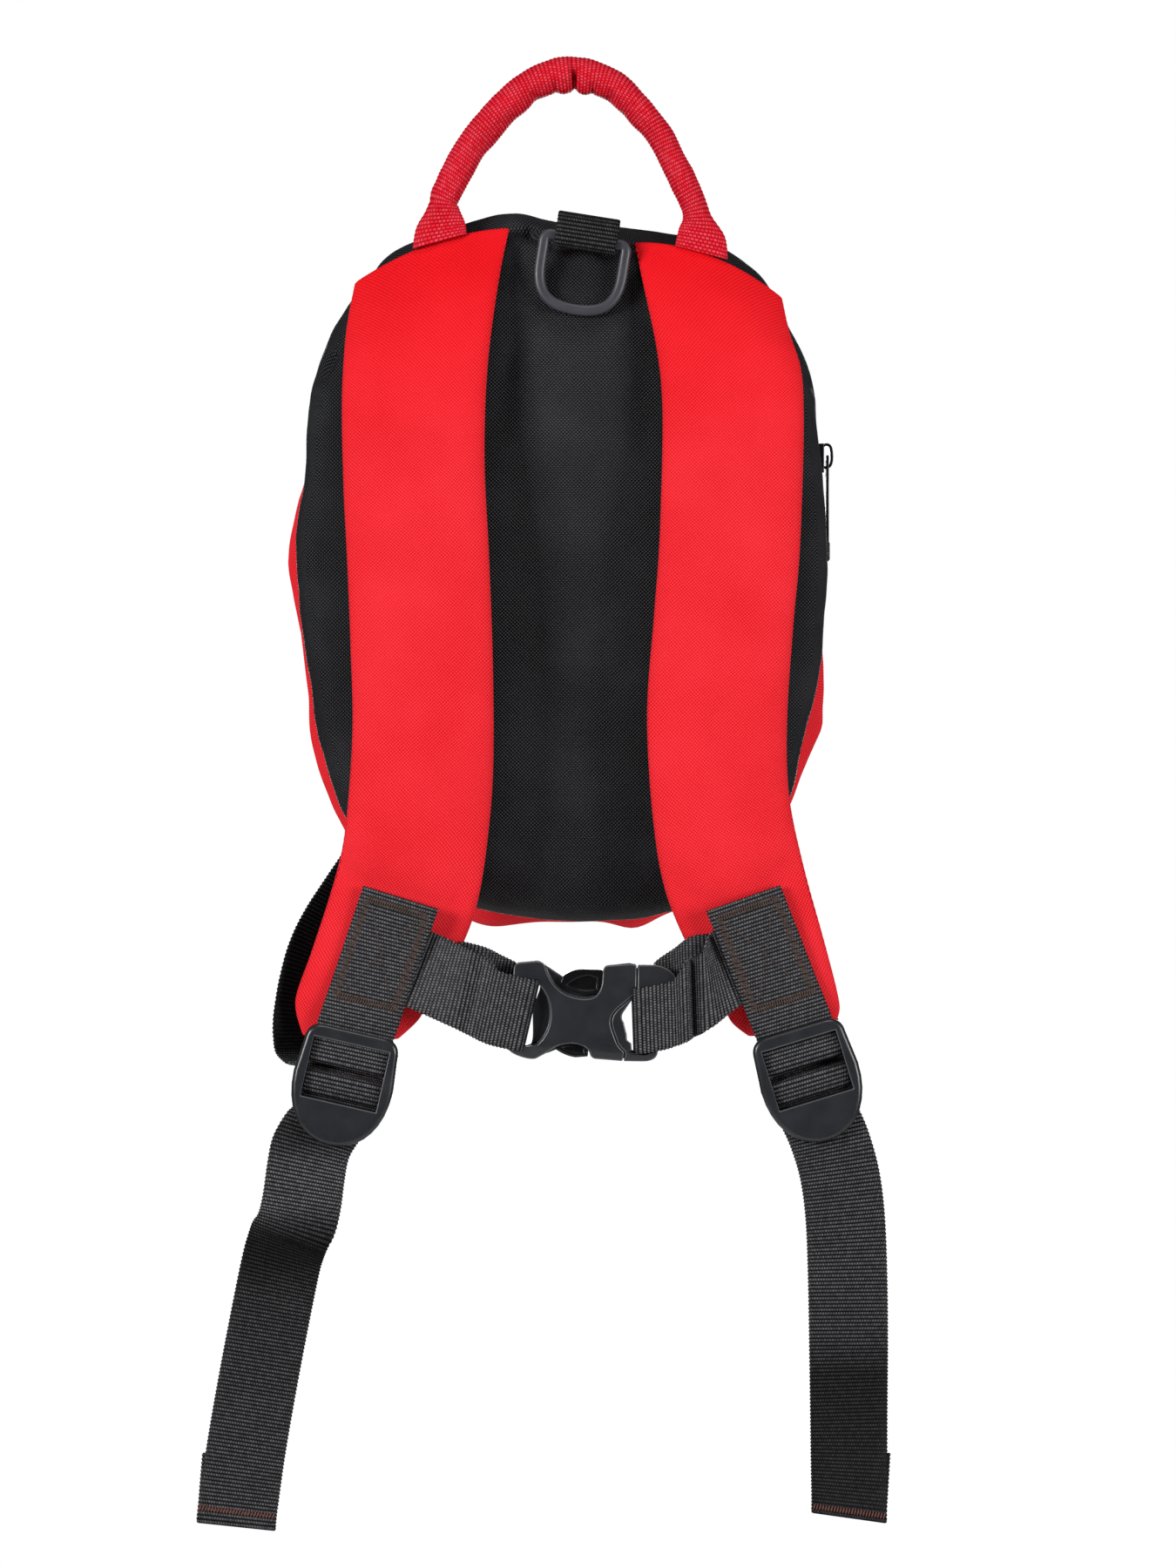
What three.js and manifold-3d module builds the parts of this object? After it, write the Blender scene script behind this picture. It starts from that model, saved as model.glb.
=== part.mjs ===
// A toddler's backpack hanging by its grab handle, seen from the wearer's side.
// Millimetres, +Z up. The origin is the underside of the handle's top, where a hook carries it.
// The back panel and straps face -Y, the front of the bag faces +Y, and +X is the zip pull's side.
import * as THREE from 'three';
import { mergeVertices } from 'three/addons/utils/BufferGeometryUtils.js';
import Module from 'manifold-3d';

const wasm = await Module();
wasm.setup();

// Driving dimensions
const GAP = 0.35;
const CLOTH = 1.6;
const WEB_WIDTH = 26;
const WEB_THICK = 1.4;
const STRAP_THICK = 8;
const OUTLINE_STEPS = 56;
const BAG_MID_Z = -160;
const BACK_DOME = 7;
const PANEL_THICK = 2;
const GUSSET_START = PANEL_THICK + GAP;
const GUSSET_END = 50;
const FRONT_DEPTH = 84;
const FRONT_MID_Z = -176;
const FRONT_MIDDLE = 4;
const BACK_SEAM_SCALE = 0.965;

// Outline of the black bag body where it is widest, clockwise from the top: [x, z]
const BAG_OUTLINE = [
  [-5, -41.4], [18, -43.4], [37.4, -46.6], [53.3, -51.8], [65, -61], [74, -77.5], [81.6, -95],
  [83.2, -112], [85.6, -136], [86.6, -157], [85.5, -175], [83.7, -196], [78.4, -216], [74, -235],
  [62, -255], [47, -267.5], [27, -274.6], [0, -276.2], [-18, -274.6], [-36, -270.6], [-58, -260.5],
  [-74.6, -243], [-83.5, -217], [-86.6, -197], [-90, -174], [-91, -153], [-89.4, -125], [-88.6, -110],
  [-86, -95], [-80.3, -80], [-70, -64.5], [-58.4, -51.8], [-34.3, -42.4], [-20, -38.8],
];

// Gusset section from the back seam to the front seam: [depth y, scale of the outline]
const GUSSET_SECTION = [
  [GUSSET_START, 0.966], [7, 0.99], [14, 1.0], [22, 0.98], [35, 0.98], [43, 0.998], [GUSSET_END, 0.992],
];
const ZIP_BAND = { from: 23.5, to: 33.5, scale: 0.98, height: 1, lowestZ: -132 };

// Front panel from its seam to its middle: [depth y, scale of the red outline]
const FRONT_SECTION = [
  [GUSSET_END + GAP, 0.985], [56, 0.999], [63, 0.985], [70, 0.93], [76, 0.83], [80.5, 0.66], [83, 0.42],
  [FRONT_DEPTH, 0.15],
];
// How the filled front spreads past the black body at each height: [z, scale, shift in x]
const FRONT_SPREAD = [
  [-40, 0.985, 0], [-110, 1, -1], [-130, 1.02, -2.5], [-151, 1.03, -2.7], [-175, 1.02, -1], [-195, 1.045, 0],
  [-205, 1.064, 0.6], [-218, 1.052, 0], [-235, 1.026, -1], [-262, 1.004, 0], [-280, 0.992, 0],
];

// Rings of the back panel from its seam to its middle, as shares of the seam's size
const BACK_RINGS = [1, 0.9, 0.74, 0.54, 0.32, 0.1];

// Grab handle, left foot to right foot: [outer x, outer z, inner x, inner z, depth in y, y]
const HANDLE_ROWS = [
  [-51.6, -50.8, -34.4, -46.4, 2.6, -2.0],
  [-51.0, -45.3, -34.8, -43.5, 3.6, -1.6],
  [-47.0, -37.7, -36.8, -38.3, 7.6, -0.6],
  [-45.5, -31.4, -36.8, -36.3, 9.4, 0],
  [-37.4, -15.7, -29.3, -22.4, 10.4, 0],
  [-26.4, -2.1, -19.7, -11.1, 11, 0],
  [-14.2, 7.5, -10.1, -2.7, 11.6, 0],
  [-1.1, 11.8, 0, 0, 12, 0],
  [13.3, 8.7, 10.2, -1.8, 11.6, 0],
  [24.9, -0.6, 18.3, -8.5, 11, 0],
  [33.6, -11.9, 25.6, -16.0, 10, 0],
  [39.4, -23.0, 31.2, -27.0, 9.6, 0],
  [44.4, -33.1, 36.4, -37.3, 9.4, 0],
  [47.0, -40.9, 37.6, -42.0, 7.6, -0.6],
  [51.6, -48.2, 36.3, -45.6, 3.6, -1.6],
  [52.2, -53.8, 35.4, -49.4, 2.6, -2.0],
];
const HANDLE_SECTIONS = 34;
const HANDLE_SIDES = 12;

// Shoulder straps from the top seam to the rounded end:
// [outer edge x, outer edge z, inner edge x, inner edge z, middle y, thickness, arch of the row]
const STRAP_LEFT = [
  [-71.5, -62.6, -19.7, -44.4, -2, 3, 3.8],
  [-73.8, -77.7, -22.7, -60.1, -7.4, 6.4, 3],
  [-74.6, -91.0, -25.8, -82.4, -13.5, STRAP_THICK, 1.2],
  [-74.9, -107.2, -27.4, -103.8, -18.5, STRAP_THICK, 0],
  [-74.0, -134.0, -27.5, -129.1, -24, STRAP_THICK, 0],
  [-72.7, -157.2, -26.0, -156.4, -27, STRAP_THICK, 0],
  [-71.5, -186.2, -24.9, -186.2, -28, STRAP_THICK, 0],
  [-71.0, -213.5, -24.6, -216.4, -26.5, STRAP_THICK, 0],
  [-73.5, -244.6, -25.8, -241.1, -23.5, STRAP_THICK, 0],
  [-77.3, -262.0, -29.9, -268.9, -20.5, STRAP_THICK, 0],
  [-84.6, -284.4, -37.1, -287.6, -18, 7.4, 0],
  [-89.6, -298.2, -46.3, -302.5, -16.4, 6.2, 0],
  [-90.2, -304.8, -49.8, -308.3, -15.8, 5, 0],
  [-87.7, -313.5, -56.7, -314.6, -15.4, 4.2, 0],
];
const STRAP_RIGHT = [
  [70.7, -67.6, 21.2, -49.3, -2, 3, 5],
  [73.0, -80.6, 24.0, -63.6, -7.4, 6.4, 3],
  [76.5, -93.6, 28.8, -87.8, -13.5, STRAP_THICK, 1.2],
  [77.1, -108.7, 30.4, -106.7, -18.5, STRAP_THICK, 0],
  [76.5, -130.8, 30.0, -130.8, -24, STRAP_THICK, 0],
  [75.2, -157.2, 29.1, -154.4, -27, STRAP_THICK, 0],
  [73.2, -179.1, 27.4, -176.3, -28, STRAP_THICK, 0],
  [71.3, -209.0, 25.2, -208.1, -26.5, STRAP_THICK, 0],
  [72.0, -233.2, 27.2, -241.7, -23.5, STRAP_THICK, 0],
  [76.7, -256.0, 31.5, -266.0, -20.5, STRAP_THICK, 0],
  [84.3, -283.5, 40.7, -287.6, -18, 7.4, 0],
  [88.6, -300.5, 50.0, -302.5, -16.4, 6.2, 0],
  [88.7, -306.3, 53.4, -308.9, -15.8, 5, 0],
  [86.4, -311.2, 59.2, -313.5, -15.4, 4.2, 0],
];
const STRAP_SECTIONS = 30;
const STRAP_ACROSS = 7;

// Outlines run from row to row. A row ends at its last two numbers, and those before bend the way there.

// Ladder locks, in their own across and up directions from the middle of the top edge
const LOCK = {
  width: 33.4, back: -2, front: 4, rail: 3.3, topBar: 4.4, barUnder: 2.2, barFrom: -1.7, barTo: -0.1,
  tabBar: [7.4, 10.6], webBar: [17.2, 20.4], tongue: 24.4, tongueUnder: 0.6, length: 38.4, bevel: 0.9,
};
const LOCK_OUTLINE = [
  [-9.7, 0], [-15.7, 0, -15.7, -6], [-16.7, -16.7], [-16.7, -30.7, -9.2, -38.4, 0, -38.4],
  [9.2, -38.4, 16.7, -30.7, 16.7, -16.7], [15.7, -6], [15.7, 0, 9.7, 0],
];
// Webbing round bars: how far it stands off the strap and off a bar, and the rounding of its turns
const TAB_LIFT = 1.7;
const TURN_CLEAR = 0.5;
const TURN_ROUND = 0.9;

// Each side's lock, patch, chest webbing and adjuster
const SIDES = {
  left: {
    strap: STRAP_LEFT,
    lock: { x: -70.2, y: -20.6, z: -311.2, turn: -13 },
    patchTop: { x: -55, z: -268.3 },
    chestRoot: { x: -48.9, y: -24.1, z: -291, lean: 21 },
    buckleBar: { at: -21.8, inward: 1, middle: 0, width: WEB_WIDTH, frontLift: 2, backLift: 5.5 },
    // Webbing from the bag's lower corner to the back of the lock: [x, y, z, turn of its width]
    lowerWeb: [
      [-56.6, -2.2, -249, -32], [-68, -2.4, -265, -32], [-80, -2.2, -285, -26], [-85.2, -3.4, -304, -9],
      [-84.6, -6.4, -315, 0], [-79.4, -11, -324.6, -6], [-75, -15.6, -328.2, -11],
    ],
    // Free end below the lock: [x, y, z, turn of its width]
    tail: [
      [-80.2, -19.6, -342, -20], [-85.1, -20, -350.4, -15], [-88.1, -22.2, -369, -10],
      [-92.3, -23.4, -379, -20], [-94.9, -23.2, -388, -15], [-98.7, -22, -407, -10],
      [-102.8, -20.6, -429, -10], [-106.5, -20, -451, -9], [-109.4, -19.8, -472.6, -6],
    ],
  },
  right: {
    strap: STRAP_RIGHT,
    lock: { x: 73.7, y: -20.6, z: -310.3, turn: 17 },
    patchTop: { x: 56.8, z: -268 },
    chestRoot: { x: 51, y: -23.8, z: -291, lean: -21.5 },
    buckleBar: { at: 22.7, inward: -1, middle: -3.2, width: 20.4, frontLift: 6.4, backLift: 15.5 },
    lowerWeb: [
      [56, -2.2, -249, 32], [61, -2.4, -262, 30], [69, -2.2, -282, 24], [74.6, -3.4, -302, 12],
      [76.4, -6.4, -314.4, 8], [77.2, -11, -323, 12], [77.6, -15.6, -326.8, 15],
    ],
    tail: [
      [82.4, -19.6, -340, 15], [85.4, -20, -347, 13], [88.5, -22, -358, 8], [90.3, -22.6, -372, 5],
      [91.1, -22.2, -391, 1], [91.5, -21, -413, 0], [91.8, -20.2, -439, 0], [92.1, -20, -469.8, -6],
    ],
  },
};
const HEM_LENGTH = 23;
const LOWER_STEPS = 13;
const TAIL_STEPS = 22;
const PATCH_STEPS = 9;

// Chest strap buckle, fastened: its middle, its turn in the view plane and half the width of its slot bars
const BUCKLE = { x: 4.7, y: -24.2, z: -304.4, turn: -4, thick: 8, bevel: 1.1 };
const BAR_HALF = 2.6;
const MOUTH_CLEAR = 0.5;
// Waved mouth between the halves, from the top down, as [along, up] rows from the buckle's middle
const MOUTH = [[17, 8.6], [14, 5, 9.6, 3, 9.4, -3.4], [9.4, -8, 14, -10, 13.8, -16.4]];
const SOCKET_OUTLINE = [
  [-24.4, -13], [-24.4, 13], [-24, 16, -20, 16.2], [-15.4, 16.2], [-11, 15, -10, 11.4, -4, 11.4],
  [1, 11.4, 4, 12, 7, 14.6], [16.6, 15], ...MOUTH, [3, -16.2], [0, -15.8, -3, -14.8, -6, -14.8],
  [-11, -14.8, -12, -16, -19, -16.4], [-24, -16.2, -24.4, -13],
];
const SOCKET_SLOT = [[-19.2, -13.4], [-17, -13.4], [-13.8, -8, -13.8, 8, -17, 13.4], [-19.2, 13.4]];
const PLUG_OUTLINE = [
  [16.6, 15], ...MOUTH, [20.5, -16.4], [24.7, -16.2, 24.7, -12.6], [24.7, 8.2], [28.1, 8.4],
  [30.5, 10.8, 27.9, 13],
];
const PLUG_SLOT = [
  [20.2, -13.8], [20.2, 7.8], [16.9, 7.8], [16.6, 3, 13.4, 1, 13.6, -4], [13.8, -8, 16.2, -9, 16.2, -13.8],
];
// Chest webbing round a bar: how far it runs on in front and behind, and the share of the lift near the bar
const CHEST_LOOP = { clearOfArm: 8.8, full: 12, behind: 14, endOut: -2, nearShare: 0.35, farShare: 0.65 };

// Ring for a safety rein and the folded tab that holds it
const RING = { x: 5.4, y: -6.6, z: -50, tilt: 9, bar: 3.7, steps: 40, sides: 10 };
const RING_OUTLINE = [
  [-11.3, 0], [11.3, 0], [13.7, 0, 13.7, 2.4], [13.7, 10], [13.7, 21.4, 7.5, 23.4, 0, 23.4],
  [-7.5, 23.4, -13.7, 21.4, -13.7, 10], [-13.7, 2.4], [-13.7, 0, -11.3, 0],
];
const SEAM_REST = 1.2;
const TAB = { width: 20.6, top: 7.6, rise: 3.2, turnSteps: 6 };

// Zip slider and pull on the right side of the gusset
const SLIDER = { x: 84.5, y: 28.5, z: -119.9, body: [1.8, 8, 10], bailHeight: 3, bailThick: 1, bailWidth: 2 };
const PULL = { length: 36, width: 7, thick: 1, slotFrom: 0.6, slotTo: 6.6, slotWidth: 3, tip: 6 };

// Colours and finishes
const MATERIALS = {
  redCloth: { color: 0xf0202c, roughness: 0.75 },
  redWebbing: { color: 0xd8243a, roughness: 0.8 },
  blackCloth: { color: 0x1d1e20, roughness: 0.6 },
  blackWebbing: { color: 0x2a2a2c, roughness: 0.85 },
  greyPlastic: { color: 0x2e2f33, roughness: 0.45 },
  glossPlastic: { color: 0x151517, roughness: 0.2 },
};

const pack = new THREE.Group();

const point = (x, y, z) => new THREE.Vector3(x, y, z);
const radians = THREE.MathUtils.degToRad;
const mix = THREE.MathUtils.lerp;

// Width direction of a strip that faces the viewer, turned in the view plane
const viewAcross = (degrees) => point(Math.cos(radians(degrees)), 0, Math.sin(radians(degrees)));

function addPiece(name, geometry, look) {
  const material = new THREE.MeshStandardMaterial({ ...MATERIALS[look], metalness: 0 });
  const mesh = new THREE.Mesh(geometry, material);
  mesh.name = name;
  pack.add(mesh);
  return mesh;
}

// Row of a table at a key that lies between its rows, whose first column falls
function lookUp(table, key) {
  const found = table.findIndex(([rowKey]) => rowKey <= key);
  const after = THREE.MathUtils.clamp(found === -1 ? table.length - 1 : found, 1, table.length - 1);
  const above = table[after - 1];
  const below = table[after];
  const share = THREE.MathUtils.clamp((key - above[0]) / (below[0] - above[0]), 0, 1);
  return above.map((value, column) => mix(value, below[column], share));
}

// Rows of numbers passed through a smooth curve and sampled at evenly spaced steps
function smoothRows(rows, count) {
  const last = rows.length - 1;
  const sample = (column, place) => {
    const i = Math.min(Math.floor(place), last - 1);
    const value = (row) => rows[THREE.MathUtils.clamp(row, 0, last)][column];
    const t = place - i;
    const before = value(i - 1);
    const from = value(i);
    const to = value(i + 1);
    const beyond = value(i + 2);
    const slope = to - before;
    const curve = 2 * before - 5 * from + 4 * to - beyond;
    const twist = 3 * (from - to) + beyond - before;
    return from + 0.5 * t * (slope + t * (curve + t * twist));
  };
  return Array.from({ length: count }, (_, step) =>
    rows[0].map((_, column) => sample(column, (step / (count - 1)) * last)));
}

function signedVolume(points, triangles) {
  let volume = 0;
  for (const [a, b, c] of triangles) volume += points[a].dot(points[b].clone().cross(points[c])) / 6;
  return volume;
}

function closedBody(points, triangles) {
  const outward = signedVolume(points, triangles) > 0;
  const index = triangles.flatMap(([a, b, c]) => (outward ? [a, b, c] : [a, c, b]));
  const geometry = new THREE.BufferGeometry();
  geometry.setAttribute('position', new THREE.Float32BufferAttribute(points.flatMap((p) => p.toArray()), 3));
  geometry.setIndex(index);
  return geometry;
}

// A closed body through rings of equal count. A looped loft joins its last ring to its first.
function loft(rings, looped = false) {
  const sides = rings[0].length;
  const points = rings.flat();
  const triangles = [];
  const spans = looped ? rings.length : rings.length - 1;
  for (let span = 0; span < spans; span += 1) {
    const low = span * sides;
    const high = ((span + 1) % rings.length) * sides;
    for (let side = 0; side < sides; side += 1) {
      const next = (side + 1) % sides;
      triangles.push([low + side, low + next, high + next], [low + side, high + next, high + side]);
    }
  }
  if (!looped) {
    const lastRing = (rings.length - 1) * sides;
    for (let side = 1; side < sides - 1; side += 1) {
      triangles.push([0, side + 1, side], [lastRing, lastRing + side, lastRing + side + 1]);
    }
  }
  return closedBody(points, triangles);
}

// Solids for joining and cutting
function toSolid(geometry) {
  const bare = geometry.clone();
  bare.deleteAttribute('normal');
  bare.deleteAttribute('uv');
  const merged = mergeVertices(bare, 1e-4);
  return new wasm.Manifold(new wasm.Mesh({
    numProp: 3,
    vertProperties: new Float32Array(merged.attributes.position.array),
    triVerts: new Uint32Array(merged.index.array),
  }));
}

function toGeometry(solid) {
  const mesh = solid.getMesh();
  const geometry = new THREE.BufferGeometry();
  geometry.setAttribute('position', new THREE.BufferAttribute(new Float32Array(mesh.vertProperties), 3));
  geometry.setIndex(new THREE.BufferAttribute(new Uint32Array(mesh.triVerts), 1));
  return geometry;
}

function boxBetween(low, high) {
  const size = low.map((value, axis) => high[axis] - value);
  const box = new THREE.BoxGeometry(...size);
  return box.translate(...low.map((value, axis) => value + size[axis] / 2));
}

// Closed outline through the rows of a table
function outlineOf(rows) {
  const shape = new THREE.Shape();
  rows.forEach((row, i) => {
    if (i === 0) shape.moveTo(...row);
    else if (row.length === 2) shape.lineTo(...row);
    else if (row.length === 4) shape.quadraticCurveTo(...row);
    else shape.bezierCurveTo(...row);
  });
  return shape;
}

// A flat body with rounded edges, standing on its back face
function roundedPlate(rows, back, front, bevel) {
  const depth = front - back - 2 * bevel;
  const rounding = { bevelSize: bevel, bevelThickness: bevel, bevelOffset: -bevel, bevelSegments: 2 };
  const plate = new THREE.ExtrudeGeometry(outlineOf(rows), { depth, curveSegments: 8, ...rounding });
  return plate.translate(0, 0, back + bevel);
}

// Bag body

const outlineCurve = new THREE.CatmullRomCurve3(BAG_OUTLINE.map(([x, z]) => point(x, 0, z)), true);
const outlinePoints = outlineCurve.getSpacedPoints(OUTLINE_STEPS).slice(0, OUTLINE_STEPS);

// The outline at one depth, scaled about the bag's middle and drawn in by a wall thickness
function outlineRing(y, scale, inset = 0, middleZ = BAG_MID_Z) {
  return outlinePoints.map((p) => {
    const out = point(p.x, 0, p.z - BAG_MID_Z);
    const reach = out.length() * scale - inset;
    out.setLength(reach);
    return point(out.x, y, out.z + middleZ);
  });
}

function backPanel() {
  const depthAt = (share) => -BACK_DOME * (1 - share * share);
  const outer = BACK_RINGS.map((share) => outlineRing(depthAt(share), BACK_SEAM_SCALE * share));
  const inner = BACK_RINGS.map((share) => outlineRing(depthAt(share) + PANEL_THICK, BACK_SEAM_SCALE * share));
  return loft([...outer.reverse(), ...inner]);
}

function gusset() {
  const outer = GUSSET_SECTION.map(([y, scale]) => outlineRing(y, scale));
  const inner = GUSSET_SECTION.map(([y, scale]) => outlineRing(y, scale, CLOTH));
  return loft([...outer, ...inner.reverse()], true);
}

function frontRing(y, scale, inset = 0) {
  const rise = (y - GUSSET_END) / (FRONT_DEPTH - GUSSET_END);
  const middleZ = mix(BAG_MID_Z, FRONT_MID_Z, rise);
  return outlinePoints.map((p) => {
    const out = point(p.x, 0, p.z - BAG_MID_Z);
    const [, spread, shift] = lookUp(FRONT_SPREAD, p.z);
    const reach = out.length() * scale * spread - inset;
    out.setLength(Math.max(reach, FRONT_MIDDLE));
    return point(out.x + shift * scale, y, out.z + middleZ);
  });
}

function frontPanel() {
  const outer = FRONT_SECTION.map(([y, scale]) => frontRing(y, scale));
  const inner = FRONT_SECTION.map(([y, scale], row) => frontRing(row === 0 ? y : y - CLOTH, scale, CLOTH));
  return loft([...outer.reverse(), ...inner]);
}

// Zip chain: a flat band over the top half of the gusset, from one side to the other
function zipChain() {
  const onBand = outlinePoints.filter((p) => p.z > ZIP_BAND.lowestZ);
  const byAngle = (p) => Math.atan2(p.x, p.z - BAG_MID_Z);
  onBand.sort((a, b) => byAngle(a) - byAngle(b));
  const { from, to, height } = ZIP_BAND;
  const corners = [[from, GAP], [to, GAP], [to, GAP + height], [from, GAP + height]];
  return loft(onBand.map((p) => {
    const out = point(p.x, 0, p.z - BAG_MID_Z);
    const reach = out.length() * ZIP_BAND.scale;
    return corners.map(([y, lift]) => {
      const edge = out.clone().setLength(reach + lift);
      return point(edge.x, y, edge.z + BAG_MID_Z);
    });
  }));
}

// Zip slider: a small block with an arched bail that the pull hangs on
function zipSlider() {
  const [height, width, length] = SLIDER.body;
  const { bailHeight, bailThick, bailWidth } = SLIDER;
  const body = boxBetween([0, -width / 2, -length / 2], [height, width / 2, length / 2]);
  const bail = boxBetween(
    [height / 2, -bailWidth / 2, -length / 2],
    [height + bailHeight, bailWidth / 2, length / 2],
  );
  const arch = boxBetween(
    [height, -bailWidth, -length / 2 + bailThick],
    [height + bailHeight - bailThick, bailWidth, length / 2 - bailThick],
  );
  const solid = toSolid(body).add(toSolid(bail).subtract(toSolid(arch)));
  return toGeometry(solid).translate(SLIDER.x, SLIDER.y, SLIDER.z);
}

// Where the pull's cross bar lies in the bail
const bailMiddle = SLIDER.body[0] + (SLIDER.bailHeight - SLIDER.bailThick) / 2;
const pullPivot = point(SLIDER.x + bailMiddle, SLIDER.y, SLIDER.z);

function zipPull() {
  const half = PULL.width / 2;
  const plate = boxBetween([-PULL.thick / 2, -half, -PULL.length], [PULL.thick / 2, half, PULL.slotFrom]);
  const tip = boxBetween([-PULL.thick / 2, -half, -PULL.length], [PULL.thick, half, -PULL.length + PULL.tip]);
  const slot = boxBetween(
    [-PULL.thick, -PULL.slotWidth / 2, -PULL.slotTo],
    [PULL.thick, PULL.slotWidth / 2, -PULL.slotFrom],
  );
  const solid = toSolid(plate).add(toSolid(tip)).subtract(toSolid(slot));
  return toGeometry(solid).translate(...pullPivot.toArray());
}

// Handle and straps

function handle() {
  const rings = smoothRows(HANDLE_ROWS, HANDLE_SECTIONS).map(([outerX, outerZ, innerX, innerZ, depth, y]) => {
    const middle = point((outerX + innerX) / 2, y, (outerZ + innerZ) / 2);
    const reach = point(outerX, y, outerZ).sub(middle);
    return Array.from({ length: HANDLE_SIDES }, (_, side) => {
      const angle = (2 * Math.PI * side) / HANDLE_SIDES;
      const spot = middle.clone().addScaledVector(reach, Math.cos(angle));
      return spot.add(point(0, (depth / 2) * Math.sin(angle), 0));
    });
  });
  return loft(rings);
}

// Padded strap section at one row: fullest in the middle, thinner at its sewn edges
function strapHeight(across, thickness) {
  return (thickness / 2) * Math.pow(1 - Math.pow(Math.abs(across), 4), 0.5);
}

const strapRows = (side) => smoothRows(SIDES[side].strap, STRAP_SECTIONS);

function strapPoint([outerX, outerZ, innerX, innerZ, y, thickness, arch], across, face) {
  const share = (across + 1) / 2;
  const height = strapHeight(across, thickness);
  const rise = arch * (1 - across * across);
  return point(mix(outerX, innerX, share), y + face * height, mix(outerZ, innerZ, share) + rise);
}

function shoulderStrap(side) {
  const places = Array.from({ length: STRAP_ACROSS }, (_, i) => -1 + (2 * i) / (STRAP_ACROSS - 1));
  const inside = places.slice(1, -1).reverse();
  const rings = strapRows(side).map((row) => [
    ...places.map((across) => strapPoint(row, across, -1)),
    ...inside.map((across) => strapPoint(row, across, 1)),
  ]);
  return loft(rings);
}

// Front face of a strap below a point of the view plane
function strapFront(side, x, z) {
  let best = null;
  for (const row of strapRows(side)) {
    const [outerX, outerZ, innerX, innerZ] = row;
    const along = point(innerX - outerX, 0, innerZ - outerZ);
    const share = point(x - outerX, 0, z - outerZ).dot(along) / along.lengthSq();
    const miss = Math.abs(mix(outerZ, innerZ, share) - z);
    if (!best || miss < best.miss) best = { miss, row, across: THREE.MathUtils.clamp(2 * share - 1, -1, 1) };
  }
  return strapPoint(best.row, best.across, -1).y;
}

// Flat webbing: a thin band along stations of { at, across, width }
function ribbon(stations, usualWidth = WEB_WIDTH) {
  const rings = stations.map(({ at, across, width = usualWidth }, i) => {
    const before = stations[Math.max(i - 1, 0)].at;
    const after = stations[Math.min(i + 1, stations.length - 1)].at;
    const along = after.clone().sub(before).normalize();
    const face = across.clone().cross(along).normalize();
    const toEdge = across.clone().multiplyScalar(width / 2);
    const toFace = face.multiplyScalar(WEB_THICK / 2);
    const corner = (u, w) => at.clone().addScaledVector(toEdge, u).addScaledVector(toFace, w);
    return [corner(-1, -1), corner(1, -1), corner(1, 1), corner(-1, 1)];
  });
  return loft(rings);
}

const viewStation = ([x, y, z, turn]) => ({ at: point(x, y, z), across: viewAcross(turn) });

// A ladder lock's own directions
function lockFrame({ x, y, z, turn }) {
  const across = viewAcross(turn);
  const down = point(across.z, 0, -across.x);
  const out = point(0, -1, 0);
  const place = (d, n) => point(x, y, z).addScaledVector(down, d).addScaledVector(out, n);
  return { across, down, out, place };
}

function ladderLock(side) {
  const { lock } = SIDES[side];
  const { across, down, out } = lockFrame(lock);
  const { back, front, bevel } = LOCK;
  const inner = LOCK.width / 2 - LOCK.rail;
  const plate = roundedPlate(LOCK_OUTLINE, back, front, bevel);
  const block = (half, from, to, low, high) => toSolid(boxBetween([-half, -to, low], [half, -from, high]));
  const bar = ([from, to]) => block(inner + 1, from, to, LOCK.barFrom, LOCK.barTo);
  const solid = toSolid(plate)
    .subtract(block(inner, LOCK.topBar, LOCK.tongue, back - 1, front + 1))
    .subtract(block(inner, -1, LOCK.topBar + 1, back - 1, LOCK.barUnder))
    .subtract(block(LOCK.width, LOCK.tongue - 1, LOCK.length + 1, back - 1, LOCK.tongueUnder))
    .add(bar(LOCK.tabBar))
    .add(bar(LOCK.webBar));
  const toFrame = new THREE.Matrix4().makeBasis(across, down.clone().negate(), out);
  return toGeometry(solid).applyMatrix4(toFrame.setPosition(lock.x, lock.y, lock.z));
}

const turnGap = TURN_CLEAR + WEB_THICK / 2;
const overBar = LOCK.barTo + turnGap;
const underBar = LOCK.barFrom - turnGap;

// Webbing tab sewn on the strap, round the lock's upper bar and back to the strap's end
function lockTab(side) {
  const { lock, patchTop } = SIDES[side];
  const { across, place } = lockFrame(lock);
  const entry = place(1, overBar);
  const onStrap = Array.from({ length: PATCH_STEPS }, (_, i) => {
    const share = i / PATCH_STEPS;
    const x = mix(patchTop.x, entry.x, share);
    const z = mix(patchTop.z, entry.z, share);
    const onFace = strapFront(side, x, z) - TAB_LIFT;
    return { at: point(x, Math.min(onFace, entry.y), z), across };
  });
  const end = LOCK.tabBar[1] + turnGap;
  const turn = [
    [1, overBar], [6, overBar], [end - TURN_ROUND, overBar], [end - 0.1, overBar - TURN_ROUND],
    [end - 0.1, underBar + TURN_ROUND], [end - TURN_ROUND, underBar], [LOCK.tabBar[0] - 1.8, underBar],
  ];
  const aroundBar = turn.map(([d, n]) => ({ at: place(d, n), across }));
  return ribbon([...onStrap, ...aroundBar]);
}

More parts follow.
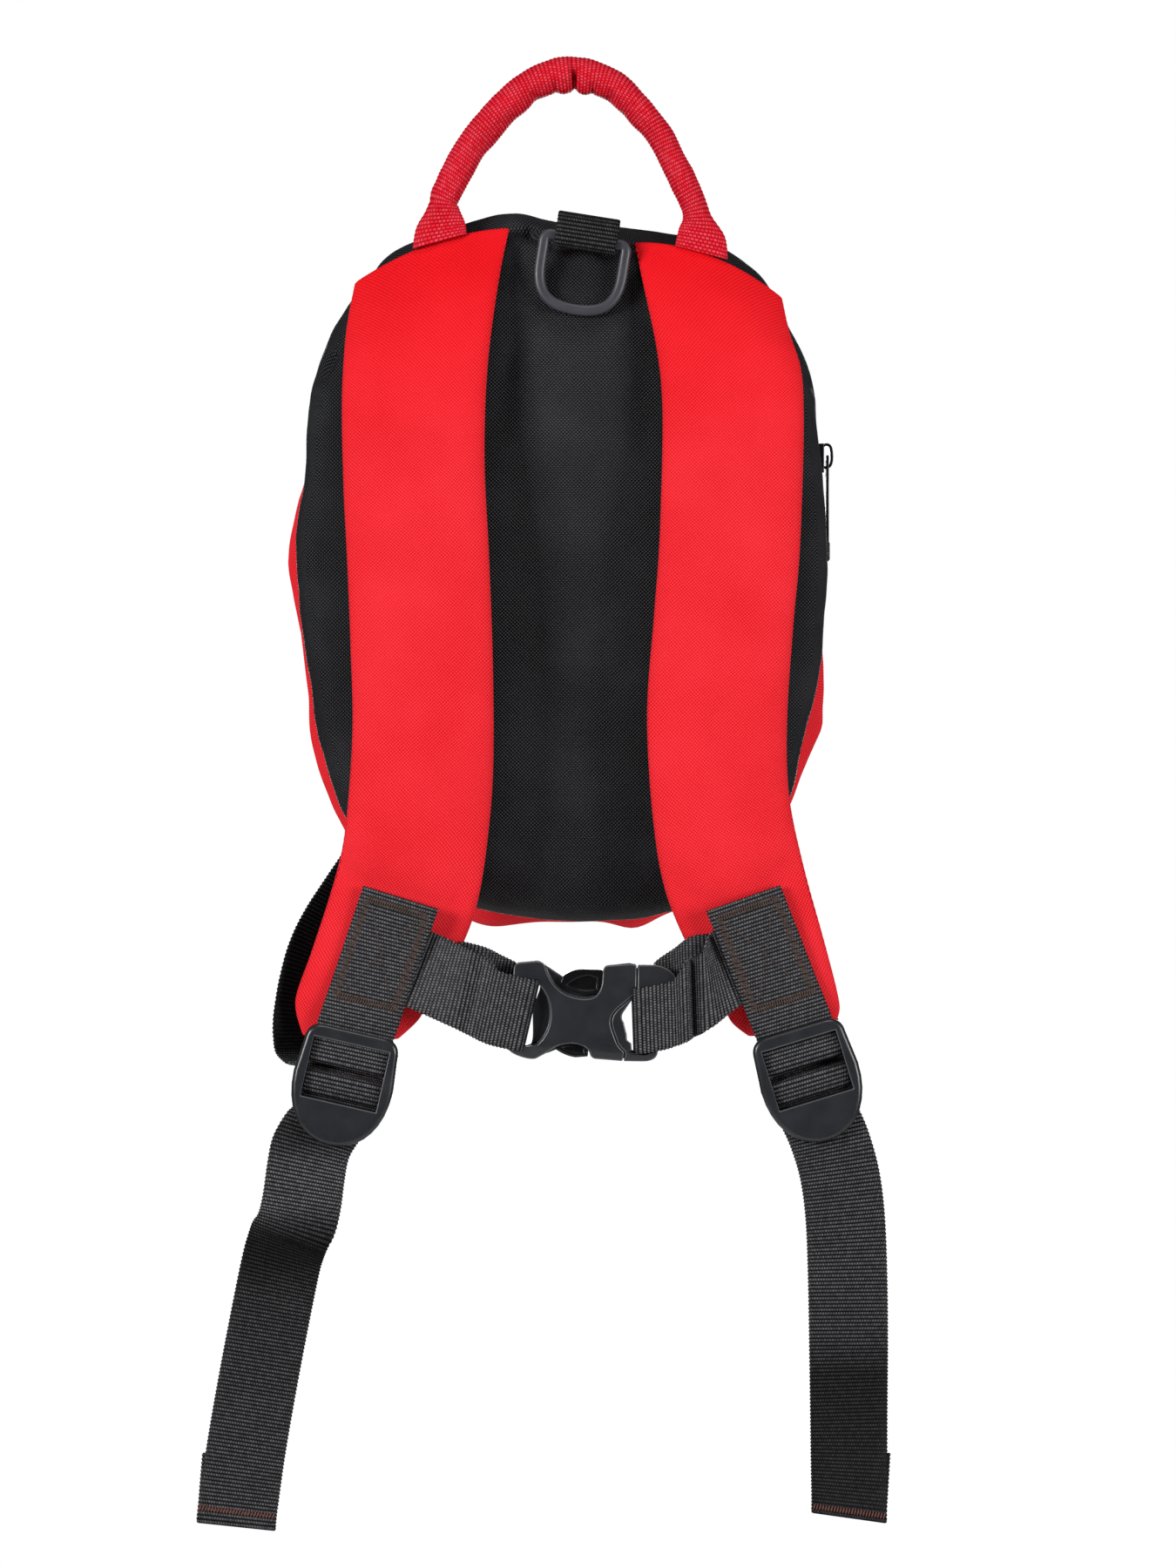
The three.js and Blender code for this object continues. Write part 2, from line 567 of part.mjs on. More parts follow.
// Adjuster webbing: from the bag's lower corner, over the lock's lower bar and down to a folded hem
function adjusterWeb(side) {
  const { lock, lowerWeb, tail } = SIDES[side];
  const { across, place } = lockFrame(lock);
  const rise = LOCK.webBar[0] - turnGap;
  const fall = LOCK.webBar[1] + turnGap;
  const turn = [
    [rise + 0.4, -3.2], [rise, -1.6], [rise + 0.1, overBar - TURN_ROUND], [rise + TURN_ROUND, overBar],
    [fall - TURN_ROUND, overBar], [fall - 0.1, overBar - TURN_ROUND], [fall + 0.4, -0.7], [fall + 3, -1.1],
  ];
  const aroundBar = turn.map(([d, n]) => ({ at: place(d, n), across }));
  const toLock = smoothRows(lowerWeb, LOWER_STEPS).map(viewStation);
  const hanging = smoothRows(tail, TAIL_STEPS);
  const [endX, endY, endZ, endTurn] = tail.at(-1);
  const behind = WEB_THICK + GAP;
  const fold = [endX, endY + behind / 2, endZ - 1, endTurn];
  const inHem = hanging.filter(([, , z]) => z < endZ + HEM_LENGTH).reverse();
  const hem = inHem.map(([x, y, z, turn]) => [x, y + behind, z, turn]);
  const below = [...hanging, fold, ...hem].map(viewStation);
  return ribbon([...toLock, ...aroundBar, ...below]);
}

// Buckle frame: along the strap, up and towards the viewer
const buckleAlong = viewAcross(BUCKLE.turn);
const buckleUp = point(-buckleAlong.z, 0, buckleAlong.x);
const buckleOut = point(0, -1, 0);
const bucklePlace = (a, b, n) => point(BUCKLE.x, BUCKLE.y, BUCKLE.z)
  .addScaledVector(buckleAlong, a).addScaledVector(buckleUp, b).addScaledVector(buckleOut, n);

function buckleBody(outline, slot) {
  const { thick, bevel } = BUCKLE;
  const body = roundedPlate(outline, -thick / 2, thick / 2, bevel);
  const through = { depth: 2 * thick, bevelEnabled: false, curveSegments: 6 };
  const cut = new THREE.ExtrudeGeometry(outlineOf(slot), through);
  const solid = toSolid(body).subtract(toSolid(cut.translate(0, 0, -thick)));
  return toGeometry(solid);
}

const toBuckleFrame = new THREE.Matrix4()
  .makeBasis(buckleAlong, buckleUp, buckleOut).setPosition(BUCKLE.x, BUCKLE.y, BUCKLE.z);

// Socket half: two ears round the webbing slot, side windows and a waved mouth
const buckleSocket = () => buckleBody(SOCKET_OUTLINE, SOCKET_SLOT).applyMatrix4(toBuckleFrame);

// Plug half: the mouth's other side and two arms round its own slot
function bucklePlug() {
  const plug = buckleBody(PLUG_OUTLINE, PLUG_SLOT).translate(MOUTH_CLEAR, 0, 0);
  return plug.applyMatrix4(toBuckleFrame);
}

// Chest webbing from the patch to the buckle's bar, round it and back behind itself
function chestStrap(side) {
  const { chestRoot, buckleBar } = SIDES[side];
  const { at, inward, middle, width, frontLift, backLift } = buckleBar;
  const level = BUCKLE.thick / 2 + turnGap;
  const reach = BAR_HALF + turnGap;
  const { clearOfArm, full, behind, endOut, nearShare, farShare } = CHEST_LOOP;
  const loop = [
    [-full, level - 1, frontLift, WEB_WIDTH], [-clearOfArm, level - 0.6, 0, width], [-1, level, 0, width],
    [reach - 1, level, 0, width], [reach, level - 1, 0, width], [reach, 1 - level, 0, width],
    [reach - 1, -level, 0, width], [-3, -level, backLift * nearShare, WEB_WIDTH],
    [-clearOfArm, -level, backLift * farShare, WEB_WIDTH], [-behind, endOut, backLift, WEB_WIDTH],
  ];
  const root = { at: point(chestRoot.x, chestRoot.y, chestRoot.z), across: viewAcross(90 - chestRoot.lean) };
  const aroundBar = loop.map(([a, n, lift, wide]) =>
    ({ at: bucklePlace(at + inward * a, middle + lift, n), across: buckleUp, width: wide }));
  return ribbon([root, ...aroundBar]);
}

// Ring and its tab

const ringAxis = point(Math.cos(radians(RING.tilt)), 0, -Math.sin(radians(RING.tilt)));
const ringDown = point(ringAxis.z, 0, -ringAxis.x);
const ringPlace = (a, d, n) => point(RING.x, RING.y, RING.z)
  .addScaledVector(ringAxis, a).addScaledVector(ringDown, d).add(point(0, -n, 0));

function dRing() {
  const { bar, steps, sides } = RING;
  const spots = outlineOf(RING_OUTLINE).getSpacedPoints(steps).slice(0, steps);
  const rings = spots.map((spot, i) => {
    const along = spots[(i + 1) % steps].clone().sub(spots[(i + steps - 1) % steps]).normalize();
    return Array.from({ length: sides }, (_, side) => {
      const angle = (2 * Math.PI * side) / sides;
      const outward = (bar / 2) * Math.cos(angle);
      return ringPlace(spot.x + along.y * outward, spot.y - along.x * outward, (bar / 2) * Math.sin(angle));
    });
  });
  return loft(rings, true);
}

// Tab: webbing from the top seam, down behind the ring's bar, round it and up over the top edge
function ringTab() {
  const turn = RING.bar / 2 + turnGap;
  const seam = RING.y + SEAM_REST;
  const { top, rise, turnSteps, width } = TAB;
  const aroundBar = Array.from({ length: turnSteps - 1 }, (_, step) => {
    const angle = (Math.PI * (step + 1)) / turnSteps;
    return [turn * Math.sin(angle), -turn * Math.cos(angle)];
  });
  const rows = [
    [-3.4, seam], [-2.2, -turn - 0.7], [-1, -turn], ...aroundBar, [-1, turn], [2.4 - top, turn - 0.2],
    [0.6 - top, turn - 1.4], [-top, turn - rise], [1.4 - top, -turn - 0.6], [3 - top, seam + 0.8],
  ];
  return ribbon(rows.map(([d, n]) => ({ at: ringPlace(0, d, n), across: ringAxis })), width);
}

// Assembly

addPiece('back_panel', backPanel(), 'blackCloth');
addPiece('side_gusset', gusset(), 'blackCloth');
addPiece('front_panel', frontPanel(), 'redCloth');
addPiece('zip_chain', zipChain(), 'blackWebbing');
addPiece('zip_slider', zipSlider(), 'glossPlastic');
addPiece('zip_pull', zipPull(), 'glossPlastic');
addPiece('grab_handle', handle(), 'redWebbing');
addPiece('ring_tab', ringTab(), 'blackWebbing');
addPiece('d_ring', dRing(), 'greyPlastic');
addPiece('buckle_socket', buckleSocket(), 'greyPlastic');
addPiece('buckle_plug', bucklePlug(), 'greyPlastic');
for (const side of Object.keys(SIDES)) {
  addPiece(`shoulder_strap_${side}`, shoulderStrap(side), 'redCloth');
  addPiece(`lock_tab_${side}`, lockTab(side), 'blackWebbing');
  addPiece(`ladder_lock_${side}`, ladderLock(side), 'greyPlastic');
  addPiece(`adjuster_web_${side}`, adjusterWeb(side), 'blackWebbing');
  addPiece(`chest_strap_${side}`, chestStrap(side), 'blackWebbing');
}

export default pack;
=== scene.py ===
"""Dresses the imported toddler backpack: cloth, padding, webbing, stitching and moulded plastic.

Tables are in millimetres in the part's own frame. Points become metres when a mesh is made.
"""
import math

import bmesh
import bpy
from mathutils import Matrix, Vector, noise
from mathutils.bvhtree import BVHTree


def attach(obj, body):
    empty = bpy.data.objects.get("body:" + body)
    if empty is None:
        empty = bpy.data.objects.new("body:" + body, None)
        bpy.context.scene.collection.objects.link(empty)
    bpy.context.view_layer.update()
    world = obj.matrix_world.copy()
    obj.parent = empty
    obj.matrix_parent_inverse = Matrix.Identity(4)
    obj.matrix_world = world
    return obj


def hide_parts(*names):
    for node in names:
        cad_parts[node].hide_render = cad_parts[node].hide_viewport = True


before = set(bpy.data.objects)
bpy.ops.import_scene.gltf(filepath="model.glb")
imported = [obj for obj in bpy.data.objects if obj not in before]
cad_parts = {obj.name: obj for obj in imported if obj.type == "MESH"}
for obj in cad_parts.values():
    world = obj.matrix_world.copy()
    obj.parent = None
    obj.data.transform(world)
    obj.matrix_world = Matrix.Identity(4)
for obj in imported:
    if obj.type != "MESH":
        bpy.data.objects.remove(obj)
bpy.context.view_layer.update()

MM = 0.001

# Camera square on to the wearer's side, at the middle of a frame 522 mm tall
CAMERA_AT = (6.1, -1400, -230.3)
FRAME_HEIGHT = 522
SENSOR = 36
CLIP_END = 50  # metres

# Floor, sky and lamps
FLOOR_Z = -640
FLOOR_RADIUS = 0.6  # metres
FLOOR_SIDES = 96
SKY_LIGHT = 0.1
LAMP_AIM = (0, 0, -0.2)  # metres
LAMPS = [  # place in metres, size, watts
    ((-1.35, -1.25, 0.15), 0.6, 28), ((1.4, -1.2, -0.1), 0.8, 22), ((0.0, -0.6, 1.2), 0.6, 5),
    ((0.0, 1.9, -0.1), 1.2, 22),
]

# Bag body
BAG_MID_Z = -160
GUSSET_END = 50
FRONT_DEPTH = 84
FRONT_MID_Z = -176
SPREAD_DEPTH = 5
CLOTH = 1.4
BAG_OUTLINE = [  # x, z
    (-5, -41.4), (18, -43.4), (37.4, -46.6), (53.3, -51.8), (65, -61), (74, -77.5), (81.6, -95),
    (83.2, -112), (85.6, -136), (86.6, -157), (85.5, -175), (83.7, -196), (78.4, -216), (74, -235),
    (62, -255), (47, -267.5), (27, -274.6), (0, -276.2), (-18, -274.6), (-36, -270.6), (-58, -260.5),
    (-74.6, -243), (-83.5, -217), (-86.8, -197), (-90.4, -175), (-92.2, -154), (-91.8, -142),
    (-89.8, -131), (-88.6, -122), (-88.2, -110), (-86, -95), (-80.3, -80), (-70, -64.5), (-58.4, -51.8),
    (-34.3, -42.4), (-20, -38.8),
]
OUTLINE_STEPS = 420
BODY_SECTION = [  # depth y, scale of the outline, from the middle of the back to the front seam
    (-7, 0.03), (-6.85, 0.2), (-6.2, 0.4), (-4.8, 0.6), (-2.6, 0.78), (0, 0.895), (3.4, 0.955), (8, 0.99),
    (14, 1.0), (22, 0.982), (35, 0.982), (43, 0.998), (48.6, 0.992), (50, 0.982),
]
SECTION_STEPS = 7
PANEL_SPANS = 6  # spans of the section that belong to the back panel
FRONT_SECTION = [  # depth y, scale of the red outline
    (50.2, 0.982), (52, 0.99), (56, 0.999), (63, 0.985), (70, 0.93), (76, 0.83), (80.5, 0.66), (83, 0.42),
    (84, 0.2), (84.2, 0.03),
]
FRONT_RINGS = 60
FRONT_SPREAD = [  # z, scale, shift in x
    (-40, 0.985, 0), (-110, 1, -1), (-130, 1.02, -2.5), (-151, 1.03, -2.7), (-175, 1.02, -1),
    (-195, 1.045, 0), (-205, 1.064, 0.6), (-218, 1.052, 0), (-235, 1.026, -1), (-262, 1.008, 0),
    (-280, 0.964, 0),
]
FRONT_DROPS = [(-30, 14, 4.4), (23, 8, 3.4)]  # x, half width, how far the red hangs under the black there
DROP_HEIGHTS = (-250, -265)  # the drops grow from nothing to full between these
BACK_FOLDS = [  # x, z at each end, half width, height
    (-22, -46, -13, -46.5, 1.5, -1.8), (-13, -46.5, -6, -50, 1.5, -1.8), (-6, -50, 0, -52, 1.6, -1.4),
    (12, -54, 22, -51, 1.6, -1.4), (-18, -42, -8, -44, 2.2, 0.8), (-15, -54, -10, -68, 4, -1.2),
    (18, -62, 10, -84, 7, 0.7), (-8, -64, -14, -82, 6, 0.5), (-14, -72, -21, -92, 5, -1),
    (2, -76, 22, -84, 7, 0.6), (2, -88, 18, -98, 8, 0.7), (-20, -60, -24, -110, 6, -0.9),
    (25, -70, 27, -120, 6, -0.9), (-78.4, -88, -83, -94.4, 1.5, -2.2), (-76, -84, -81, -90, 3, 1),
    (-85.4, -102.8, -84.4, -102.6, 1.6, -1.3), (79, -92, 83.6, -98, 1.5, -2), (-82, -150, -78, -190, 6, 0.8),
]
SLACK_HEIGHTS = (-150, -80)  # the cloth gets slacker between these
RIM_REACH = (70, 95)  # distances from the bag's middle between which its small puckers grow
BACK_DEPTHS = (14, 8)  # the folds of the back fade out between these
SEAM_DEPTHS = (66, 54)  # the front's small puckers grow between these
GUSSET_STITCH = (19, 46.5)  # depths of the rows of stitches round the side band
FRONT_STITCH_RING = 31

# Grab handle, left foot to right foot: outer x, outer z, inner x, inner z, depth in y, y
HANDLE_ROWS = [
    (-52.2, -52.6, -34.2, -47.6, 2.6, -2.8), (-51.0, -45.3, -34.8, -43.5, 3.6, -1.6),
    (-47.0, -37.7, -36.8, -38.3, 7.6, -0.6), (-45.5, -31.4, -36.8, -36.3, 9.4, 0),
    (-37.4, -15.7, -29.3, -22.4, 10.4, 0), (-26.4, -2.1, -19.7, -11.1, 11, 0),
    (-14.2, 7.5, -10.1, -2.7, 11.6, 0), (-1.1, 11.8, 0, 0, 12, 0), (13.3, 8.7, 10.2, -1.8, 11.6, 0),
    (24.9, -0.6, 18.3, -8.5, 11, 0), (33.6, -11.9, 25.6, -16.0, 10, 0), (39.4, -23.0, 31.2, -27.0, 9.6, 0),
    (44.4, -33.1, 36.4, -37.3, 9.4, 0), (47.0, -40.9, 37.6, -42.0, 7.6, -0.6),
    (51.6, -48.2, 36.3, -45.6, 3.6, -1.6), (52.6, -56, 35, -51.4, 2.6, -2.8),
]
HANDLE_FINE_ROWS = 300
HANDLE_SIDES = 32
HANDLE_WEB = 34  # width of the webbing before it is rolled
HANDLE_RIB = 1.25
HANDLE_ARCH_Z = -14  # the creases are above this
HANDLE_FEET = (-46, -38)  # flat feet turn into the lumpy tube between these
HANDLE_CREASES = [  # x on the arch, angle round the tube from its top, half width, half angle, depth
    (1.4, 232, 0.95, 62, 4.2), (-2.6, 215, 1.9, 50, -0.9), (5.2, 215, 1.9, 50, -0.9), (-5.8, 205, 0.9, 40, 1),
    (8.4, 205, 1.0, 40, 1), (-13, 200, 1.6, 35, 0.9), (15, 205, 1.5, 35, 0.9), (-22, 195, 1.8, 30, 0.8),
    (21, 195, 1.6, 30, 0.7),
]
HANDLE_SEAM = dict(heights=(-44, -4), turns=(268, 232), half_angle=7, depth=0.4)

# Shoulder straps: outer x, outer z, inner x, inner z, middle y, thickness, arch of the row
PAD = 8
STRAP_LEFT = [
    (-71.5, -62.6, -19.7, -44.4, 0.4, 3, 3.8), (-73.8, -77.7, -22.7, -60.1, -6.6, 6.4, 3),
    (-74.6, -91.0, -25.8, -82.4, -13.5, PAD, 1.2), (-74.9, -107.2, -27.4, -103.8, -18.5, PAD, 0),
    (-74.0, -134.0, -27.5, -129.1, -24, PAD, 0), (-72.7, -157.2, -26.0, -156.4, -27, PAD, 0),
    (-71.5, -186.2, -24.9, -186.2, -28, PAD, 0), (-71.0, -213.5, -24.6, -216.4, -26.5, PAD, 0),
    (-73.5, -244.6, -25.8, -241.1, -23.5, PAD, 0), (-77.3, -262.0, -29.9, -268.9, -20.5, PAD, 0),
    (-84.6, -284.4, -37.1, -287.6, -18, 7.4, 0), (-89.6, -298.2, -46.3, -302.5, -16.4, 6.2, 0),
    (-90.2, -304.8, -49.8, -308.3, -15.8, 5, 0), (-87.7, -313.5, -56.7, -314.6, -15.4, 4.2, 0),
]
STRAP_RIGHT = [
    (70.7, -67.6, 21.2, -49.3, 0.4, 3, 5), (73.0, -80.6, 24.0, -63.6, -6.6, 6.4, 3),
    (76.5, -93.6, 28.8, -87.8, -13.5, PAD, 1.2), (77.1, -108.7, 30.4, -106.7, -18.5, PAD, 0),
    (76.5, -130.8, 30.0, -130.8, -24, PAD, 0), (75.2, -157.2, 29.1, -154.4, -27, PAD, 0),
    (73.2, -179.1, 27.4, -176.3, -28, PAD, 0), (71.3, -209.0, 25.2, -208.1, -26.5, PAD, 0),
    (72.0, -233.2, 27.2, -241.7, -23.5, PAD, 0), (76.7, -256.0, 31.5, -266.0, -20.5, PAD, 0),
    (84.3, -283.5, 40.7, -287.6, -18, 7.4, 0), (88.6, -300.5, 50.0, -302.5, -16.4, 6.2, 0),
    (88.7, -306.3, 53.4, -308.9, -15.8, 5, 0), (86.4, -311.2, 59.2, -313.5, -15.4, 4.2, 0),
]
STRAP_ROWS = 96
STRAP_PLACES = 17
STRAP_FOLDS = {  # x, z at each end, half width, height
    "left": [(-76, -258, -68, -264, 4, -1.2), (-62, -262, -52, -268, 4, -0.9),
             (-34, -262, -40, -276, 4, -0.8), (-46, -276, -38, -270, 3, -0.6)],
    "right": [(72, -258, 64, -263, 4, -1.2), (40, -268, 48, -272, 4, -1.1),
              (36, -262, 42, -276, 4, -0.8), (76, -262, 80, -270, 4, -0.8)],
}
TOP_SHADE_HEIGHTS = (-128, -58)  # heights between which the straps' red turns from its pale colour to a deeper painted shade at their tops, which tilt up and catch less light
STRAP_SEAM = dict(rows=260, first=6, last=215, edge=0.985, step=1.3)

# Webbing
WEB_WIDTH = 26
WEB_THICK = 1.3
RIB_PITCH = 1.25
RIB_HEIGHT = 0.09
RINGS_PER_RIB = 4
RIB_STEP = RIB_PITCH / RINGS_PER_RIB
RIB_TURN = 2 * math.pi / RINGS_PER_RIB
SELVEDGE = dict(starts=0.9, bump=0.16, phase=0.8)
WEB_ACROSS = [-1, -0.985, -0.94, -0.7, -0.35, 0, 0.35, 0.7, 0.94, 0.985, 1]
WEB_HEIGHT = [0, 0.75, 1, 1, 1, 1, 1, 1, 1, 0.75, 0]
WEB_SECTION = ([(u, -h) for u, h in zip(WEB_ACROSS, WEB_HEIGHT)]
               + [(u, h) for u, h in reversed(list(zip(WEB_ACROSS, WEB_HEIGHT))[1:-1])])
WEAVE_SHIFT = 50  # keeps the weave's coordinates above zero
PATCH_STEPS = 9
PATCH_TILT = 0.13
PATCH_LIFT = 1.7
UNDER_PATCH = 12
HEM_SHIFT = 1.3
HEM_LENGTH = 23
HEM_GAP = 0.45
LOWER_WEB_ROWS = 13
TAIL_ROWS = 22
SHORTEST_KNOT = 0.05

# Plastic that the webbing runs through
BAR_GAP = 1.15  # from a bar's face to the middle of the webbing round it
LOCK_WEB_WIDTH = 25.7
BEHIND_SHIFT = 0.35
LOCK = dict(width=33.4, length=38.4, back=-2, front=4, rail=4.05, rounding=1.7, edge=0.35, top_bar=4.4,
            bar_under=2.2, bar_from=-1.7, bar_to=-0.1, tab_bar=(7.4, 10.6), web_bar=(17.2, 20.4),
            tongue=24.4, tongue_under=0.6)
OVER_BAR = LOCK["bar_to"] + BAR_GAP
UNDER_BAR = LOCK["bar_from"] - BAR_GAP
BUCKLE = dict(x=4.7, y=-24.2, z=-304.4, turn=-4, thick=8, edge=0.45)
BAR_HALF = 2.6
RING = dict(x=5.4, y=-6.6, z=-50, tilt=9, bar=3.7, flatness=0.94, sides=18, step=1.2, bend_steps=14)
# The ring tab's threads show only 0.4 of their pale colour, so the tab is darker all over than the other
# webbing.
TAB = dict(width=20.6, top=7.6, rise=3.2, shade_and_wear=0.4)

SIDES = {
    "left": dict(
        strap=STRAP_LEFT, outward=-1, lock=dict(x=-70.2, y=-20.6, z=-311.2, turn=-13),
        patch_top=(-55, -267.4), patch_cut=-17, hem_row=5,
        chest_root=dict(x=-48.9, y=-24.1, z=-291, lean=21),
        bar=dict(at=-21.6, inward=1, middle=-2.6, width=24, lean=-9, front_lift=4.6, back_lift=8.1,
                 crease=0.4),
        shade_and_wear=[  # z, share of the threads' pale colour that shows; low shares are painted shade behind the strap, under the lock's tongue and under the tail's kink
            (-240, 0.1), (-318, 0.1), (-325, 0.9), (-338, 0.8), (-342, 0.35), (-349, 0.5), (-355, 0.95),
            (-368, 0.95), (-373, 0.5), (-380, 0.16), (-388, 0.16), (-400, 0.45), (-440, 0.65), (-480, 0.75)],
        lower_web=[  # x, y, z, turn of its width in the view plane, lean out of it
            (-56.6, -2.2, -249, -32, 0), (-68, -2.4, -265, -32, 12), (-82, -2.2, -285, -26, 34),
            (-87.2, -3.4, -305, -9, 38), (-86, -6, -317, 0, 28), (-80.8, -9.4, -324, -7, 0)],
        tail=[  # the same, from the lock to the hem
            (-80.2, -19.6, -342, -20, 0), (-85.1, -20, -350.4, -15, 0), (-87.6, -23, -367, -10, 0),
            (-89.2, -25, -374, -15, 0), (-91.2, -24.8, -377.6, -21, 0), (-92.8, -21, -381.4, -19, 0),
            (-94.8, -18.2, -388, -15, 0), (-98.7, -17.6, -407, -10, 0), (-102.8, -18.6, -429, -10, 0),
            (-106.5, -19.4, -451, -9, 0), (-109.4, -19.8, -472.6, -6, 0)]),
    "right": dict(
        strap=STRAP_RIGHT, outward=1, lock=dict(x=73.7, y=-20.6, z=-310.3, turn=17),
        patch_top=(56.8, -267.6), patch_cut=19, hem_row=2.4,
        chest_root=dict(x=51, y=-23.8, z=-291, lean=-21.5),
        bar=dict(at=20.9, inward=-1, middle=-1.8, width=21.6, lean=6, front_lift=7.4, back_lift=15.5,
                 crease=3.4),
        # painted shade: dark where the lower web runs behind the strap, and darker low on the tail
        shade_and_wear=[
            (-240, 0.1), (-318, 0.1), (-325, 0.9), (-350, 0.7), (-390, 0.75), (-412, 0.6), (-424, 0.24),
            (-480, 0.28)],
        lower_web=[
            (56, -2.2, -249, 32, 0), (61, -2.4, -262, 30, 0), (69, -2.2, -282, 24, 0),
            (74.6, -3.4, -302, 12, 0), (76.4, -6, -312, 10, 0), (77, -9.4, -318, 14, 0)],
        tail=[
            (82.4, -19.6, -340, 15, 0), (85.4, -20, -347, 13, 0), (88.5, -22, -358, 8, 0),
            (90.3, -22.8, -372, 5, 0), (91.1, -22.8, -391, 1, 0), (91.5, -21.6, -413, 0, 4),
            (91.8, -18.6, -439, 0, 10), (92.1, -16, -470.4, -10, 12)]),
}

# Outlines of the moulded plastics. A row ends at its last two numbers, and those before bend the way there.
LOCK_OUTLINE = [
    (-9.7, 0), (-15.7, 0, -15.7, -6), (-16.7, -16.7), (-16.7, -30.7, -9.2, -38.4, 0, -38.4),
    (9.2, -38.4, 16.7, -30.7, 16.7, -16.7), (15.7, -6), (15.7, 0, 9.7, 0),
]
MOUTH = [
    (16.6, 9.3), (16.6, 7.4, 15.5, 5.9), (11.1, 1.8), (8.8, -0.6, 8.6, -2.6, 9.4, -4.9), (11.4, -9.5),
    (12.6, -11.6, 14.2, -12, 14.2, -13.1), (13.7, -15.5),
]
MOUTH_CLEAR = 0.35
EAR_UP = [(-23.8, 10.3), (-23.8, 12.6), (-23.4, 14.2, -21.6, 14.4), (-16.6, 15.2), (-15.2, 15.4, -13.7, 14.1)]
EAR_LOW = [(-14.2, -16.5), (-16, -17.6, -20.9, -16), (-23.6, -15, -24.2, -13.4), (-24.2, -10)]
SOCKET_BACK = [
    *EAR_UP, (-7.6, 10.6), (-5, 8.6, 2, 8.2, 6.4, 11), (6.4, 15.3), (14.3, 16.4), (16.2, 16.2), *MOUTH,
    (4.7, -15.4), (4, -14.6), (3.6, -11.8, -4, -11.2, -8.3, -13), *EAR_LOW,
]
SOCKET_FRONT = [
    *EAR_UP, (-12.4, 9.4, -8.6, 4.4, -1.5, 4), (3.2, 3.8, 4.8, 5.6, 5.3, 9.5), (5.3, 13),
    (5.4, 15.2, 7, 15.4), (14.3, 16.4), (16.2, 16.2), *MOUTH, (4.7, -15.4), (3.2, -15, 2.9, -13.6),
    (1.6, -10.4, -4.6, -10, -8.6, -12.6), *EAR_LOW,
]
SLOT_BACK = [
    (-19.6, 9), (-15, 7.6), (-14, 5.6, -16.8, 2.4, -16.6, -2), (-16.4, -6, -15.6, -10, -16.4, -12),
    (-19.6, -13.2),
]
SLOT_FRONT = [(-19.6, 9), (-15.4, 7.8), (-9.4, 2.4, -9, -6.8, -14.5, -12.2), (-19.6, -13.2)]
SOCKET_CAVITY = ((7.6, -15, -3), (18, 15.4, -0.4))  # two corners of the hollow that takes the plug's stem
SHELL_OVERLAP = 0.2
PLUG_OUTLINE = [
    (16.2, 16.2), *MOUTH, (19.3, -15.2), (24.7, -15, 24.7, -11.6), (24.7, 8.8), (25.2, 9.7),
    (27, 10.2, 29.4, 10.8, 29.3, 12.1), (28.6, 14.6, 25.6, 16.4, 22.3, 16.6),
]
PLUG_SLOT = [
    (20.2, -12.6), (20.2, 7.9), (17.2, 7.4), (15.6, 5), (13, 0.6), (12, -1, 13.3, -2.7), (14.5, -6.5),
    (14.8, -8.3), (16.2, -9.4), (16.6, -12.6),
]
PLUG_STEM = ((8, -14.6, -2.7), (17, 15, -0.7))
PRONGS = {  # outline of the prong, outline of the hollow in its face
    "upper": ([(-8.4, 8.4), (-7.6, 10.8), (-5.6, 12.6, -3.6, 13.4, -1.4, 13.6), (4.6, 13.8), (6, 13.2),
               (6, 6.4), (0, 4.6, -5, 5.6, -8.4, 8.4)],
              [(-6.2, 8.2), (-4, 10.4, -1, 11.6, 1, 11.7), (3.7, 11), (3.8, 7.4),
               (0, 6, -4, 6.6, -6.2, 8.2)]),
    "lower": ([(-8.3, -11), (-8.3, -13.2), (-6, -14.6, -4, -15.2, -1.6, -15.4), (2.4, -14.8), (2.4, -10.4)],
              [(-6, -12.4), (-4, -13.6, -2, -13.9, 1, -13.7), (1, -11.4)]),
}
PRONG = dict(back=-2.6, front=2.4, rounding=0.9, edge=0.3, hollow_floor=0.4)
TOOL_REACH = 4  # how far a cutting tool may stand out of what it cuts
BUCKLE_LEVELS = [-14.6, -13, -11.4, -9.6, -7.4, -4.6, 0, 4.6, 7.4, 9.6, 11.4, 13, 14.6]
BUCKLE_HALF = 16
BUCKLE_THINNING = 0.46
RING_OUTLINE = [
    (-11.3, 0), (11.3, 0), (13.7, 0, 13.7, 2.4), (13.7, 10), (13.7, 21.4, 7.5, 23.4, 0, 23.4),
    (-7.5, 23.4, -13.7, 21.4, -13.7, 10), (-13.7, 2.4), (-13.7, 0, -11.3, 0),
]
SHORTEST_EDGE = 0.12
SAME_PLACE = 0.01
BEND_STEPS = 9
SAME_LEVEL = 1e-7  # metres
BEVEL_REACH = 0.5  # share of a bevel's width that it may lie off the sharp shape
BEVEL_ANGLE = 48
SMOOTH_ANGLE = 40

# Stitches
STITCH_LIFT = 0.1
THREAD_SIDES = 6
THREAD_RINGS = [(0, 0.5, 0.9), (0.15, 1, 0.2), (0.5, 1, 0), (0.85, 1, 0.2), (1, 0.5, 0.9)]  # share, size, dip
PATCH_BOX = dict(top=3.4, bottom=36.5, half=10, inset=2)
PATCH_ZIGZAG = dict(pitch=0.8, lift=0.05, ends=((0, -1.35), (0.55, 1.35)))
CROSS_STITCH = dict(pitch=2.9, lift=0.02, ends=((0.08, 0), (0.7752, 0)))
HEM_ZIGZAG = dict(pitch=1, lift=0.05, ends=((0, -0.95), (0.55, 0.95)))
HEM_HALF = 12.6
THREAD = dict(gusset=0.22, front=0.24, box=0.18, cross=0.14, hem=0.24, strap=0.17)  # radius of each thread

